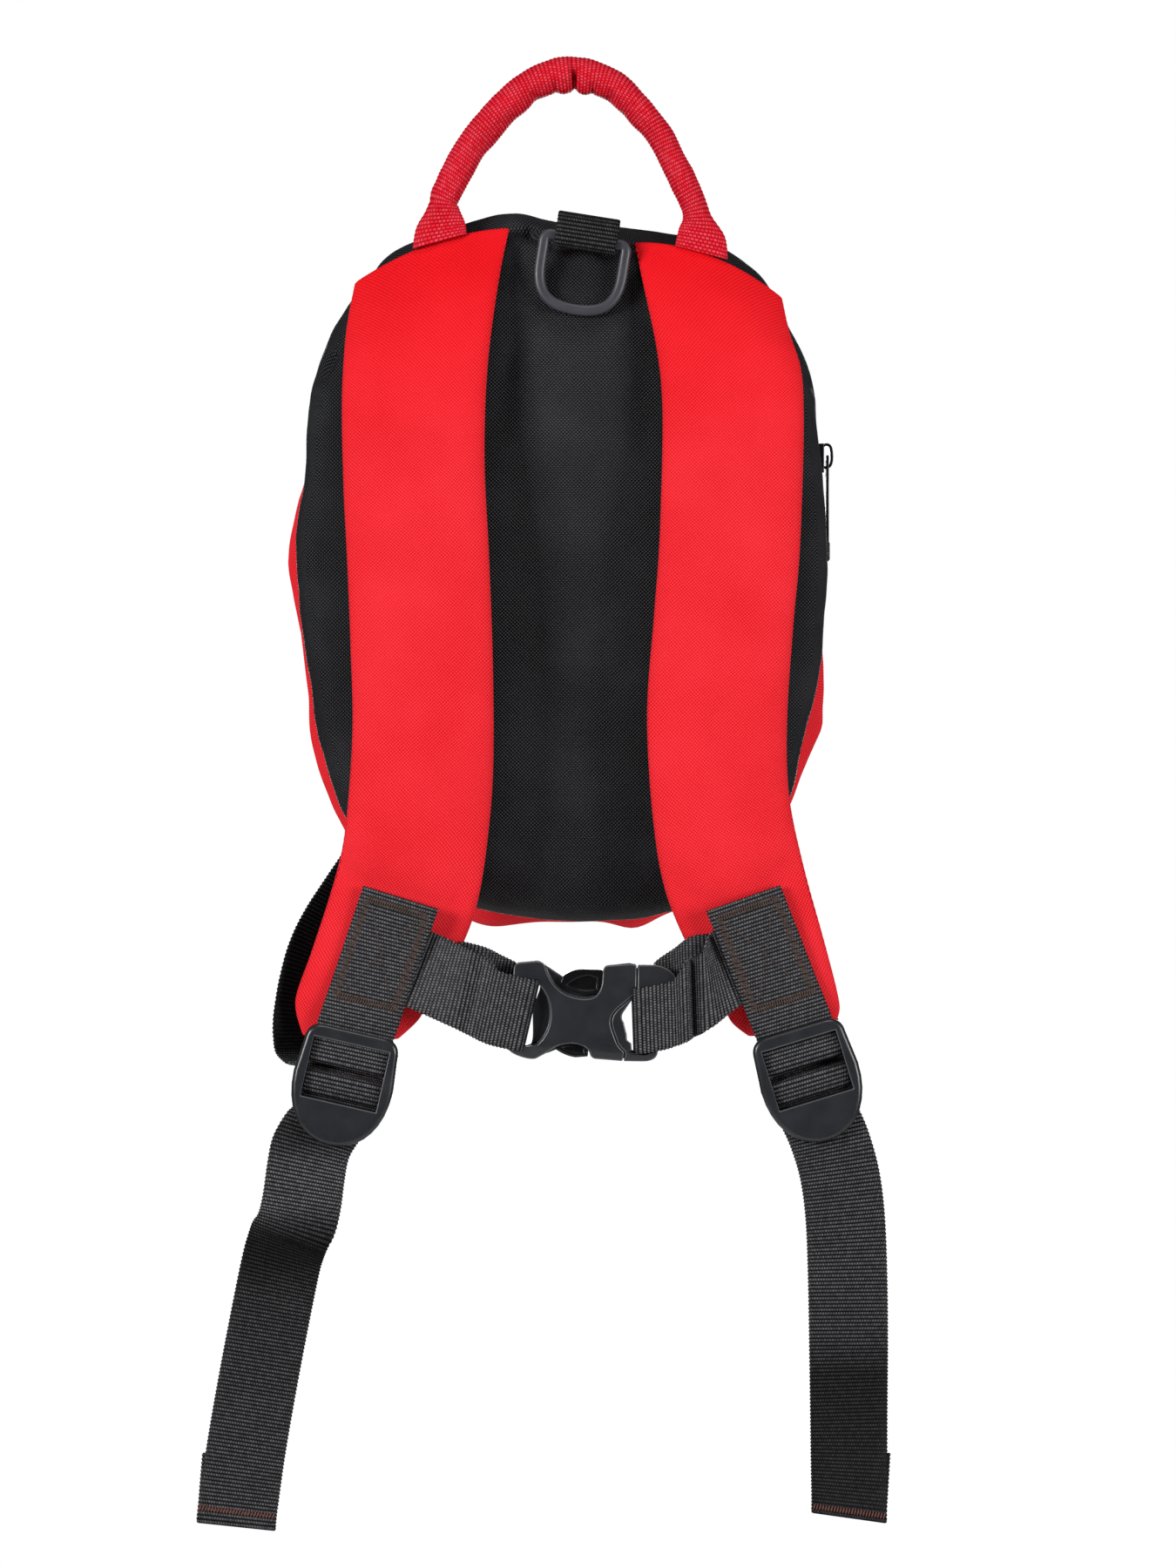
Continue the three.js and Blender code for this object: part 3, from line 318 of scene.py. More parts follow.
# Zip
ZIP = dict(tape_from=23.5, tape_to=33.5, tape=0.5, scale=0.98, lift=0.5, lowest_z=-132, teeth=1.6,
           crown=0.75, inner=0.7, outer=2, radius=0.5)
TAPE_ROUND = (0, 0.5, 10, 10.5, 11)  # way round the tape's section at its corners
SLIDER = dict(x=84.5, y=28.5, z=-119.9, edge=0.25)
SLIDER_BODY = ((-0.2, -4, -5), (1.6, 4, 5))  # two corners, from the slider's place
SLIDER_NOTCH = ((1, -1, 2.6), (1.9, 1, 6))
BAIL_PATH = [(0.8, 3.8), (2.4, 4.8), (3.8, 4.2), (4.3, 2), (4.3, -0.6), (3.7, -2.4), (2.2, -3), (0.8, -2.6)]
BAIL = dict(steps=31, half_thick=0.5, half_width=1.1, edge=0.2)
PULL = dict(x=87.3, thick=1, edge=0.25)
PULL_OUTLINE = [
    (-2.2, 1), (-2, 1.4, 2, 1.4, 2.2, 1), (2.8, -2), (2.4, -12), (3.5, -24), (3.5, -33), (3.4, -35, 0, -35),
    (-3.4, -35, -3.5, -33), (-3.5, -24), (-2.4, -12), (-2.8, -2), (-2.2, 1),
]
PULL_EYE = ((-1.4, -6, -2), (1.4, -0.6, 2))
PULL_GRIP = ((-3.2, -34.4, -0.8), (3.2, -28.6, 0.8))


# Small helpers


def linear(code):
    """Linear colour of an sRGB hex value."""
    channels = [int(code[i:i + 2], 16) / 255 for i in (1, 3, 5)]
    bent = [c / 12.92 if c <= 0.04045 else ((c + 0.055) / 1.055) ** 2.4 for c in channels]
    return (*bent, 1)


def mix(a, b, share):
    return a + (b - a) * share


def clamp(value, low, high):
    return max(low, min(high, value))


def fade(value, start, end):
    """Share of the way from a start to an end, held between 0 and 1."""
    return clamp((value - start) / (end - start), 0, 1)


def look_up(table, key):
    """Row of a table at a key between its rows, whose first column falls."""
    for above, below in zip(table, table[1:]):
        if key >= below[0] or below is table[-1]:
            share = fade(key, above[0], below[0])
            return [mix(a, b, share) for a, b in zip(above, below)]


def curve_value(before, start, end, after, t):
    """Value on a smooth curve between a start and an end, from their neighbours."""
    slope = end - before
    bend = 2 * before - 5 * start + 4 * end - after
    twist = 3 * (start - end) + after - before
    return start + 0.5 * t * (slope + t * (bend + t * twist))


def smooth_rows(rows, count, closed=False):
    """Rows of numbers passed through a smooth curve and sampled evenly."""
    spans = len(rows) if closed else len(rows) - 1
    last = len(rows) - 1
    sampled = []
    for step in range(count):
        place = step / count * spans if closed else step / (count - 1) * spans
        i = min(int(place), spans - 1)
        near = [i - 1, i, i + 1, i + 2]
        picks = [rows[k % len(rows)] if closed else rows[clamp(k, 0, last)] for k in near]
        sampled.append([curve_value(*column, place - i) for column in zip(*picks)])
    return sampled


def view_across(degrees):
    """Width direction of a strip that faces the viewer, turned in the view plane."""
    return Vector((math.cos(math.radians(degrees)), 0, math.sin(math.radians(degrees))))


def select_only(piece):
    bpy.ops.object.select_all(action="DESELECT")
    piece.select_set(True)
    bpy.context.view_layer.objects.active = piece


def apply_modifier(piece, kind, **settings):
    """Adds one modifier, with its settings, and applies it."""
    select_only(piece)
    modifier = piece.modifiers.new(kind.lower(), kind)
    for name, value in settings.items():
        setattr(modifier, name, value)
    bpy.ops.object.modifier_apply(modifier=modifier.name)


def dress(piece, body, slot, *nodes):
    """Says what a finished piece rides on and stands for. The slot is not used."""
    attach(piece, body)
    if nodes:
        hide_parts(*nodes)


# Materials


BLOTCHES = 38  # soft blotches of handled cloth in a metre, about 26 mm each
RUBS = 120  # rubbed spots of plastic in a metre, about 8 mm each
FLECKS = 1500  # flecks of a thread in a metre, about 0.7 mm each
MOST_NOISE = (0.3, 0.7)  # nearly all of a noise lies between these
THREAD_DEPTH = 0.0002  # metres
RIB_DEPTH = 0.0004
GRAIN_DEPTH = 0.0001
ROUGHNESS_SPREAD = 0.06


def add_node(tree, kind, links=None, **settings):
    """Adds a node with its settings. Links hold values or other nodes' sockets."""
    node = tree.nodes.new("ShaderNode" + kind)
    for name, value in settings.items():
        setattr(node, name, value)
    for name, value in (links or {}).items():
        if isinstance(value, bpy.types.NodeSocket):
            tree.links.new(value, node.inputs[name])
        else:
            node.inputs[name].default_value = value
    return node


def new_material(name):
    material = bpy.data.materials.new(name)
    material.use_nodes = True
    tree = material.node_tree
    return material, tree, tree.nodes["Principled BSDF"]


def woven_cloth(name, dark, light, shaded_thread, pitch, hollow, roughness, gloss, relief, blotch):
    """Plain-woven cloth: crossing threads give fine staggered dots, and handling gives broad soft blotches.

    Where an attribute says so, the threads' pale colour is painted a deeper shade, as at the tops of the
    straps, which tilt up and catch less light.
    """
    material, tree, shader = new_material(name)
    uv = add_node(tree, "UVMap", uv_map="cloth")
    axes = add_node(tree, "SeparateXYZ", {0: uv.outputs[0]})
    waves = []
    for axis in (0, 1):
        scaled = add_node(tree, "Math", {0: axes.outputs[axis], 1: math.pi / pitch}, operation="MULTIPLY")
        waves.append(add_node(tree, "Math", {0: scaled.outputs[0]}, operation="SINE"))
    threads = add_node(tree, "Math", {0: waves[0].outputs[0], 1: waves[1].outputs[0]}, operation="MULTIPLY")
    place = add_node(tree, "TexCoord")
    handling = add_node(tree, "TexNoise", {"Vector": place.outputs["Object"], "Scale": BLOTCHES, "Detail": 3})
    raised = add_node(tree, "MapRange", {0: threads.outputs[0], 1: hollow, 2: 1})
    low, high = MOST_NOISE
    spread = add_node(tree, "MapRange", {0: handling.outputs["Fac"], 1: low, 2: high, 3: -blotch, 4: blotch})
    shade = add_node(tree, "Math", {0: raised.outputs[0], 1: spread.outputs[0]}, operation="ADD",
                     use_clamp=True)
    # Painted shade: the pale thread colour turns to the shaded colour where the attribute is high.
    top_shade = add_node(tree, "Attribute", attribute_name="top_shade")
    thread = add_node(tree, "Mix", {0: top_shade.outputs["Fac"], 6: linear(light), 7: linear(shaded_thread)},
                      data_type="RGBA")
    colour = add_node(tree, "Mix", {0: shade.outputs[0], 6: linear(dark), 7: thread.outputs[2]},
                      data_type="RGBA")
    tree.links.new(colour.outputs[2], shader.inputs["Base Color"])
    bump = add_node(tree, "Bump",
                    {"Height": threads.outputs[0], "Strength": relief, "Distance": THREAD_DEPTH})
    tree.links.new(bump.outputs[0], shader.inputs["Normal"])
    shader.inputs["Roughness"].default_value = roughness
    shader.inputs["Specular IOR Level"].default_value = gloss
    return material


def woven_webbing(name, gap, dark, light, across, along, squeeze, spacing, roughness, gloss, relief):
    """Heavy webbing: each rib across the strip is a row of short raised threads, staggered from rib to rib.

    Squeezing the ribs leaves wider hollows between them than between threads. An attribute paints shade into
    the colour: where its share is low, the threads take the hollows' dark colour.
    """
    material, tree, shader = new_material(name)
    uv = add_node(tree, "UVMap", uv_map="cloth")
    flat = add_node(tree, "VectorMath", {0: uv.outputs[0], 1: (1, squeeze, 1)}, operation="MULTIPLY")
    settings = {"Vector": flat.outputs[0], "Color1": linear(dark), "Color2": linear(light),
                "Mortar": linear(gap), "Scale": 1, "Mortar Size": spacing, "Mortar Smooth": 1, "Bias": 0,
                "Brick Width": across, "Row Height": along * squeeze}
    bricks = add_node(tree, "TexBrick", settings, offset=0.5)
    # Painted shade: the attribute's share mixes the threads' colour towards the dark hollows.
    shade_and_wear = add_node(tree, "Attribute", attribute_name="shade_and_wear")
    colour = add_node(tree, "Mix", {0: shade_and_wear.outputs["Fac"], 6: linear(gap), 7: bricks.outputs["Color"]},
                      data_type="RGBA")
    tree.links.new(colour.outputs[2], shader.inputs["Base Color"])
    hollow = add_node(tree, "Math", {0: 1, 1: bricks.outputs["Fac"]}, operation="SUBTRACT")
    bump = add_node(tree, "Bump", {"Height": hollow.outputs[0], "Strength": relief, "Distance": RIB_DEPTH})
    tree.links.new(bump.outputs[0], shader.inputs["Normal"])
    shader.inputs["Roughness"].default_value = roughness
    shader.inputs["Specular IOR Level"].default_value = gloss
    return material


def moulded_plastic(name, base, worn, rim, roughness, shine, grain, relief):
    """Moulded plastic: a fine spark-eroded grain, paler in spots where hands rub it, and a painted highlight
    in the paler rim colour on its bevelled rims.
    """
    material, tree, shader = new_material(name)
    place = add_node(tree, "TexCoord")
    texture = add_node(tree, "TexNoise",
                       {"Vector": place.outputs["Object"], "Scale": 1 / (grain * MM), "Detail": 2})
    shade_and_wear = add_node(tree, "TexNoise", {"Vector": place.outputs["Object"], "Scale": RUBS, "Detail": 4})
    face = add_node(tree, "Mix", {0: shade_and_wear.outputs["Fac"], 6: linear(base), 7: linear(worn)},
                    data_type="RGBA")
    # Painted highlight: faces marked as rims take the pale rim colour.
    rim_highlight = add_node(tree, "Attribute", attribute_name="rim")
    colour = add_node(tree, "Mix", {0: rim_highlight.outputs["Fac"], 6: face.outputs[2], 7: linear(rim)},
                      data_type="RGBA")
    tree.links.new(colour.outputs[2], shader.inputs["Base Color"])
    low, high = MOST_NOISE
    gloss = add_node(tree, "MapRange", {0: shade_and_wear.outputs["Fac"], 1: low, 2: high,
                                        3: roughness - ROUGHNESS_SPREAD, 4: roughness + ROUGHNESS_SPREAD})
    tree.links.new(gloss.outputs[0], shader.inputs["Roughness"])
    bump = add_node(tree, "Bump",
                    {"Height": texture.outputs["Fac"], "Strength": relief, "Distance": GRAIN_DEPTH})
    tree.links.new(bump.outputs[0], shader.inputs["Normal"])
    shader.inputs["Specular IOR Level"].default_value = shine
    return material


def sewing_thread(name, dark, light):
    """Twisted polyester thread: short pale and dark flecks along each stitch."""
    material, tree, shader = new_material(name)
    place = add_node(tree, "TexCoord")
    flecks = add_node(tree, "TexNoise", {"Vector": place.outputs["Object"], "Scale": FLECKS, "Detail": 1})
    colour = add_node(tree, "Mix", {0: flecks.outputs["Fac"], 6: linear(dark), 7: linear(light)},
                      data_type="RGBA")
    tree.links.new(colour.outputs[2], shader.inputs["Base Color"])
    shader.inputs["Roughness"].default_value = 0.7
    return material


RED_OXFORD = woven_cloth(
    "red polyester oxford", dark="#CC0209", light="#FF3844", shaded_thread="#FF1C28", pitch=0.58, hollow=-1,
    roughness=0.75, gloss=0.1, relief=0.5, blotch=0.1)
BLACK_NYLON = woven_cloth(
    "black nylon oxford", dark="#010102", light="#494A4F", shaded_thread="#3A3B40", pitch=0.6, hollow=-0.02,
    roughness=0.46, gloss=0.14, relief=0.7, blotch=0.1)
BLACK_WEBBING = woven_webbing(
    "black polypropylene webbing", gap="#010101", dark="#717175", light="#949498", across=0.86,
    along=RIB_PITCH, squeeze=0.4, spacing=0.39, roughness=0.45, gloss=0.07, relief=0.4)
RED_WEBBING = woven_webbing(
    "red nylon webbing", gap="#A2000E", dark="#FC203A", light="#FF5064", across=0.97, along=HANDLE_RIB,
    squeeze=0.58, spacing=0.36, roughness=0.5, gloss=0.07, relief=0.4)
# Each plastic's rim colour is a painted highlight on its bevelled rims.
GREY_ACETAL = moulded_plastic(
    "charcoal acetal", base="#1C1D20", worn="#26272B", rim="#4C4D51", roughness=0.3, shine=0.5, grain=0.5,
    relief=0.1)
RING_ACETAL = moulded_plastic(
    "satin grey acetal", base="#313137", worn="#3E3E45", rim="#55555A", roughness=0.42, shine=0.5, grain=0.5,
    relief=0.1)
GLOSS_ACETAL = moulded_plastic(
    "gloss black acetal", base="#060607", worn="#101012", rim="#1C1C1F", roughness=0.2, shine=0.4, grain=0.8,
    relief=0.05)
BROWN_THREAD = sewing_thread("brown polyester thread", "#2A1A15", "#604538")
RUST_THREAD = sewing_thread("rust polyester thread", "#3C1E18", "#7E4638")
RED_THREAD = sewing_thread("red polyester thread", "#B00818", "#D81826")
BLACK_THREAD = sewing_thread("black polyester thread", "#0A0A0B", "#2C2C2F")


# Meshes from rows of points


def make_piece(name, points, faces, material, corner_uvs=None):
    """A smooth mesh in metres with its faces pointing out."""
    mesh = bpy.data.meshes.new(name)
    mesh.from_pydata([Vector(p) * MM for p in points], [], faces)
    if corner_uvs:
        layer = mesh.uv_layers.new(name="cloth")
        for loop, uv in zip(layer.data, corner_uvs):
            loop.uv = uv
    shaped = bmesh.new()
    shaped.from_mesh(mesh)
    bmesh.ops.recalc_face_normals(shaped, faces=shaped.faces)
    shaped.to_mesh(mesh)
    shaped.free()
    mesh.polygons.foreach_set("use_smooth", [True] * len(mesh.polygons))
    mesh.materials.append(material)
    piece = bpy.data.objects.new(name, mesh)
    bpy.context.collection.objects.link(piece)
    return piece


def loft(name, rings, uv_at, material, first_cap=True, last_cap=True, shade_attribute=None):
    """A skin over rings of equal count.

    uv_at gives the cloth's own millimetres at a ring, a side and the strip between rings that is asked about.
    The last argument names an attribute that paints shade into the colour, and gives its value at a point.
    """
    count = len(rings)
    sides = len(rings[0])
    points = [p for ring in rings for p in ring]
    faces = []
    uvs = []
    for i in range(count - 1):
        for j in range(sides):
            corners = [(i, j), (i, j + 1), (i + 1, j + 1), (i + 1, j)]
            faces.append([a * sides + b % sides for a, b in corners])
            uvs.extend(uv_at(a, b, i) for a, b in corners)
    if first_cap:
        faces.append([j for j in reversed(range(sides))])
        uvs.extend(uv_at(0, j, 0) for j in reversed(range(sides)))
    if last_cap:
        faces.append([(count - 1) * sides + j for j in range(sides)])
        uvs.extend(uv_at(count - 1, j, count - 2) for j in range(sides))
    piece = make_piece(name, points, faces, material, uvs)
    if shade_attribute:
        kind, share_at = shade_attribute
        shares = piece.data.attributes.new(kind, "FLOAT", "POINT")
        for spot, point in zip(shares.data, points):
            spot.value = share_at(point)
    return piece


def running_lengths(points):
    lengths = [0]
    for a, b in zip(points, points[1:]):
        lengths.append(lengths[-1] + (Vector(b) - Vector(a)).length)
    return lengths


def evenly_spaced(samples, places, step):
    """Rows resampled at equal steps of the way along their places."""
    lengths = running_lengths(places)
    count = max(2, round(lengths[-1] / step))
    result = []
    i = 0
    for k in range(count + 1):
        target = lengths[-1] * k / count
        while i < len(lengths) - 2 and lengths[i + 1] < target:
            i += 1
        share = (target - lengths[i]) / max(lengths[i + 1] - lengths[i], 1e-9)
        result.append([mix(a, b, share) for a, b in zip(samples[i], samples[i + 1])])
    return result


def fold_height(x, z, folds):
    """Sum of soft ridges and dents at a place of the view plane."""
    total = 0
    for x1, z1, x2, z2, half_width, height in folds:
        along = Vector((x2 - x1, z2 - z1))
        share = clamp(Vector((x - x1, z - z1)).dot(along) / along.length_squared, 0, 1)
        miss = math.hypot(x - x1 - along.x * share, z - z1 - along.y * share)
        total += height * math.exp(-((miss / half_width) ** 2))
    return total


def crumple(point, height, size, seed):
    """Smooth noise up to a height, with lumps of about a size, both in millimetres."""
    return height * noise.noise(Vector(point) / size + Vector((seed, 2 * seed, 3 * seed)))


def push_out(piece, height_at):
    """Moves each point along its normal by a height from its place and how far it faces the viewer."""
    mesh = piece.data
    normals = [v.normal.copy() for v in mesh.vertices]
    for vertex, normal in zip(mesh.vertices, normals):
        vertex.co += normal * height_at(vertex.co / MM, -normal.y) * MM


# Camera, light and floor


def set_camera():
    bpy.ops.object.camera_add(location=Vector(CAMERA_AT) * MM, rotation=(math.pi / 2, 0, 0))
    camera = bpy.context.active_object
    camera.data.sensor_width = SENSOR
    camera.data.lens = SENSOR * abs(CAMERA_AT[1]) / FRAME_HEIGHT
    camera.data.clip_end = CLIP_END
    bpy.context.scene.camera = camera


def set_stage():
    """Plain pale floor well under the hanging bag, a white sky and broad soft lamps."""
    bpy.ops.mesh.primitive_circle_add(vertices=FLOOR_SIDES, radius=FLOOR_RADIUS, fill_type="NGON",
                                      location=(0, 0, FLOOR_Z * MM))
    floor = bpy.context.active_object
    floor.name = "floor"
    material, _, shader = new_material("matt white paint")
    shader.inputs["Base Color"].default_value = linear("#F2F2F2")
    shader.inputs["Roughness"].default_value = 0.9
    floor.data.materials.append(material)
    world = bpy.data.worlds.new("studio")
    world.use_nodes = True
    tree = world.node_tree
    ray = add_node(tree, "LightPath")
    strength = add_node(tree, "MapRange", {0: ray.outputs["Is Camera Ray"], 3: SKY_LIGHT, 4: 1.0})
    sky = tree.nodes["Background"]
    sky.inputs["Color"].default_value = (1, 1, 1, 1)
    tree.links.new(strength.outputs[0], sky.inputs["Strength"])
    bpy.context.scene.world = world
    bpy.context.scene.view_settings.view_transform = "Standard"
    for place, size, watts in LAMPS:
        bpy.ops.object.light_add(type="AREA", location=place)
        lamp = bpy.context.active_object
        lamp.data.size = size
        lamp.data.energy = watts
        lamp.rotation_euler = (Vector(LAMP_AIM) - Vector(place)).to_track_quat("-Z", "Y").to_euler()


# Bag body


outline = [Vector((x, z)) for x, z in smooth_rows(BAG_OUTLINE, OUTLINE_STEPS, closed=True)]
outline_lengths = running_lengths(outline + outline[:1])


def outline_ring(y, scale):
    return [(p.x * scale, y, (p.y - BAG_MID_Z) * scale + BAG_MID_Z) for p in outline]


def seam_strokes(piece, ring):
    """Stitches on every other span of one ring of the bag's skin."""
    spots = [piece.data.vertices[ring * OUTLINE_STEPS + j] for j in range(OUTLINE_STEPS)]
    lifted = [(v.co / MM + v.normal * STITCH_LIFT, v.normal.copy()) for v in spots]
    return [(a, b, normal) for (a, normal), (b, _) in zip(lifted[::2], lifted[1::2])]


def bag_body():
    """Back panel and side band in one skin: domed back, soft rolled rim, recess for the zip."""
    section = smooth_rows(BODY_SECTION, SECTION_STEPS * (len(BODY_SECTION) - 1) + 1)
    rings = [outline_ring(y, scale) for y, scale in section]
    seam = SECTION_STEPS * PANEL_SPANS
    down = running_lengths([ring[0] for ring in rings])

    def uv_at(i, j, strip):
        x, _, z = rings[i][j % OUTLINE_STEPS]
        if strip < seam:
            return (x, z)
        return (outline_lengths[j], down[i])

    piece = loft("bag_body_cloth", rings, uv_at, BLACK_NYLON, last_cap=False)

    def relief(p, facing):
        near_top = fade(p.z, *SLACK_HEIGHTS)
        at_rim = fade(Vector((p.x, p.z - BAG_MID_Z)).length, *RIM_REACH)
        on_back = fade(p.y, *BACK_DEPTHS)
        height = crumple(p, height=0.7, size=46, seed=3)
        height += crumple(p, height=mix(0.25, 0.6, near_top), size=17, seed=7)
        height += crumple(p, height=mix(0.066, 0.286, at_rim), size=7, seed=11)
        return height + on_back * fold_height(p.x, p.z, BACK_FOLDS)

    push_out(piece, relief)
    strokes = []
    for depth in GUSSET_STITCH:
        ring = min(range(len(section)), key=lambda i: abs(section[i][0] - depth))
        strokes += seam_strokes(piece, ring)
    apply_modifier(piece, "SOLIDIFY", thickness=CLOTH * MM, offset=-1)
    dress(piece, "pack", "black_cloth", "back_panel", "side_gusset")
    thread_piece("gusset_seam_stitch", strokes, THREAD["gusset"], BLACK_THREAD, "black_cloth")


def front_ring(y, scale):
    """The bag's outline at a depth of the red front, spread and dropped where its cloth is slack."""
    rise = (y - GUSSET_END) / (FRONT_DEPTH - GUSSET_END)
    middle = mix(BAG_MID_Z, FRONT_MID_Z, rise)
    free = fade(y, GUSSET_END, GUSSET_END + SPREAD_DEPTH)
    ring = []
    for p in outline:
        _, spread, shift = look_up(FRONT_SPREAD, p.y)
        wide = scale * mix(1, spread, free)
        low = fade(p.y, *DROP_HEIGHTS)
        drop = sum(depth * math.exp(-((p.x - at) / half_width) ** 2) for at, half_width, depth in FRONT_DROPS)
        z = (p.y - BAG_MID_Z) * wide + middle - drop * low * free * scale
        ring.append((p.x * wide + shift * scale * free, y, z))
    return ring


def front_panel():
    """Filled red front: a domed panel with a rolled seam and slack cloth near it."""
    rings = [front_ring(y, scale) for y, scale in smooth_rows(FRONT_SECTION, FRONT_RINGS)]
    lengths = [running_lengths([ring[j] for ring in reversed(rings)]) for j in range(OUTLINE_STEPS)]
    last = len(rings) - 1

    def uv_at(i, j, strip):
        j = j % OUTLINE_STEPS
        x, _, z = rings[0][j]
        away = Vector((x, z - BAG_MID_Z)).normalized() * lengths[j][last - i]
        return (away.x, away.y)

    piece = loft("front_panel_cloth", rings, uv_at, RED_OXFORD, first_cap=False)

    def relief(p, facing):
        near_seam = fade(p.y, *SEAM_DEPTHS)
        height = crumple(p, height=1.1, size=52, seed=5) + crumple(p, height=0.4, size=21, seed=9)
        return height + crumple(p, height=0.35 * near_seam, size=8, seed=13)

    push_out(piece, relief)
    strokes = seam_strokes(piece, FRONT_STITCH_RING)
    apply_modifier(piece, "SOLIDIFY", thickness=CLOTH * MM, offset=-1)
    dress(piece, "pack", "red_cloth", "front_panel")
    thread_piece("front_seam_stitch", strokes, THREAD["front"], RED_THREAD, "red_cloth")


# Padded straps and handle


def strap_point(row, across, face):
    """A point of a strap's skin: across from -1 to 1, on its front face (-1) or its back face (1)."""
    outer_x, outer_z, inner_x, inner_z, y, thick, arch = row
    share = (across + 1) / 2
    height = thick / 2 * math.sqrt(max(1 - abs(across) ** 4, 0))
    rise = arch * (1 - across * across)
    return Vector((mix(outer_x, inner_x, share), y + face * height, mix(outer_z, inner_z, share) + rise))


def strap_front(side, x, z):
    """Depth of a strap's front face behind a point of the view plane."""
    best = None
    for row in smooth_rows(SIDES[side]["strap"], STRAP_ROWS):
        outer_x, outer_z, inner_x, inner_z = row[:4]
        share = (x - outer_x) / (inner_x - outer_x)
        miss = abs(mix(outer_z, inner_z, share) - z)
        if best is None or miss < best[0]:
            best = (miss, row, clamp(2 * share - 1, -1, 1))
    return strap_point(best[1], best[2], -1).y


def shoulder_strap(side):
    """Padded strap: two red faces over foam, closed along sewn edges."""
    rows = smooth_rows(SIDES[side]["strap"], STRAP_ROWS)
    places = [-math.cos(math.pi * k / (STRAP_PLACES - 1)) for k in range(STRAP_PLACES)]
    section = [(a, -1) for a in places] + [(a, 1) for a in reversed(places[1:-1])]
    rings = [[strap_point(row, a, face) for a, face in section] for row in rows]
    down = running_lengths([(ring[0] + ring[STRAP_PLACES - 1]) / 2 for ring in rings])

    def uv_at(i, j, strip):
        half = (rings[i][0] - rings[i][STRAP_PLACES - 1]).length / 2
        return (section[j % len(section)][0] * half, down[i])

    # Painted shade: the straps' red gets deeper towards their tops.
    shade_attribute = ("top_shade", lambda p: fade(p.z, *TOP_SHADE_HEIGHTS))
    piece = loft("strap_pad_" + side, rings, uv_at, RED_OXFORD, shade_attribute=shade_attribute)

    def relief(p, facing):
        height = crumple(p, height=0.3, size=30, seed=17) + crumple(p, height=0.12, size=9, seed=19)
        on_front = clamp(facing, 0, 1) ** 3
        return height * mix(0.3, 1, on_front) + on_front * fold_height(p.x, p.z, STRAP_FOLDS[side])

    push_out(piece, relief)
    apply_modifier(piece, "SUBSURF", levels=1, render_levels=1)
    dress(piece, "pack", "red_cloth", "shoulder_strap_" + side)


def handle_dent(x, z, angle):
    """How far the tube's wall goes in at its creases and along the seam that closes it."""
    dent = 0
    degrees = math.degrees(angle)
    if z > HANDLE_ARCH_Z:
        for at, turn, half_width, half_angle, depth in HANDLE_CREASES:
            dent += depth * math.exp(-((x - at) / half_width) ** 2 - ((degrees - turn) / half_angle) ** 2)
    seam_turn = mix(*HANDLE_SEAM["turns"], fade(z, *HANDLE_SEAM["heights"]))
    return dent + HANDLE_SEAM["depth"] * math.exp(-((degrees - seam_turn) / HANDLE_SEAM["half_angle"]) ** 2)


def grab_handle():
    """Webbing rolled into a tube and sewn flat at its feet, pinched where a hook holds it."""
    fine = smooth_rows(HANDLE_ROWS, HANDLE_FINE_ROWS)
    middles = [((a + c) / 2, y, (b + d) / 2) for a, b, c, d, depth, y in fine]
    rows = evenly_spaced(fine, middles, HANDLE_RIB / RINGS_PER_RIB)
    rings = []
    for i, (outer_x, outer_z, inner_x, inner_z, depth, y) in enumerate(rows):
        middle = Vector(((outer_x + inner_x) / 2, y, (outer_z + inner_z) / 2))
        reach = Vector((outer_x, y, outer_z)) - middle
        rib = RIB_HEIGHT * math.cos(RIB_TURN * i)
        ring = []
        for side in range(HANDLE_SIDES):
            angle = 2 * math.pi * side / HANDLE_SIDES
            grow = rib - handle_dent(middle.x, middle.z, angle)
            tall = reach * (1 + grow / reach.length)
            deep = Vector((0, (depth / 2 + grow) * math.sin(angle), 0))
            ring.append(middle + tall * math.cos(angle) + deep)
        rings.append(ring)

    def uv_at(i, j, strip):
        return (j * HANDLE_WEB / HANDLE_SIDES, i * HANDLE_RIB / RINGS_PER_RIB)

    piece = loft("handle_tube", rings, uv_at, RED_WEBBING, shade_attribute=("shade_and_wear", lambda p: 1))

    def relief(p, facing):
        height = crumple(p, height=0.5, size=9, seed=23) + crumple(p, height=0.2, size=4, seed=29)
        return height * fade(p.z, *HANDLE_FEET)

    push_out(piece, relief)
    dress(piece, "pack", "red_webbing", "grab_handle")


# Webbing


def smooth_stations(stations, per_span):
    """More stations on a curve that passes each given one without overshooting."""
    places = [s[0] for s in stations]
    result = []
    last = len(stations) - 1
    for i in range(last):
        a, b = places[i], places[i + 1]
        before = places[i - 1] if i > 0 else a * 2 - b
        after = places[i + 2] if i + 2 <= last else b * 2 - a
        knots = [0]
        for p, q in ((before, a), (a, b), (b, after)):
            knots.append(knots[-1] + max(math.sqrt((q - p).length), SHORTEST_KNOT))
        for step in range(per_span):
            share = step / per_span
            t = mix(knots[1], knots[2], share)

            def between(p, q, low, high):
                span = knots[high] - knots[low]
                return p * ((knots[high] - t) / span) + q * ((t - knots[low]) / span)

            first = between(before, a, 0, 1)
            second = between(a, b, 1, 2)
            third = between(b, after, 2, 3)
            at = between(between(first, second, 0, 2), between(second, third, 1, 3), 1, 2)
            across = stations[i][1].lerp(stations[i + 1][1], share).normalized()
            result.append((at, across, mix(stations[i][2], stations[i + 1][2], share)))
    result.append(stations[-1])
    return result


strips = {}  # place, width direction and face of every ring of each strip


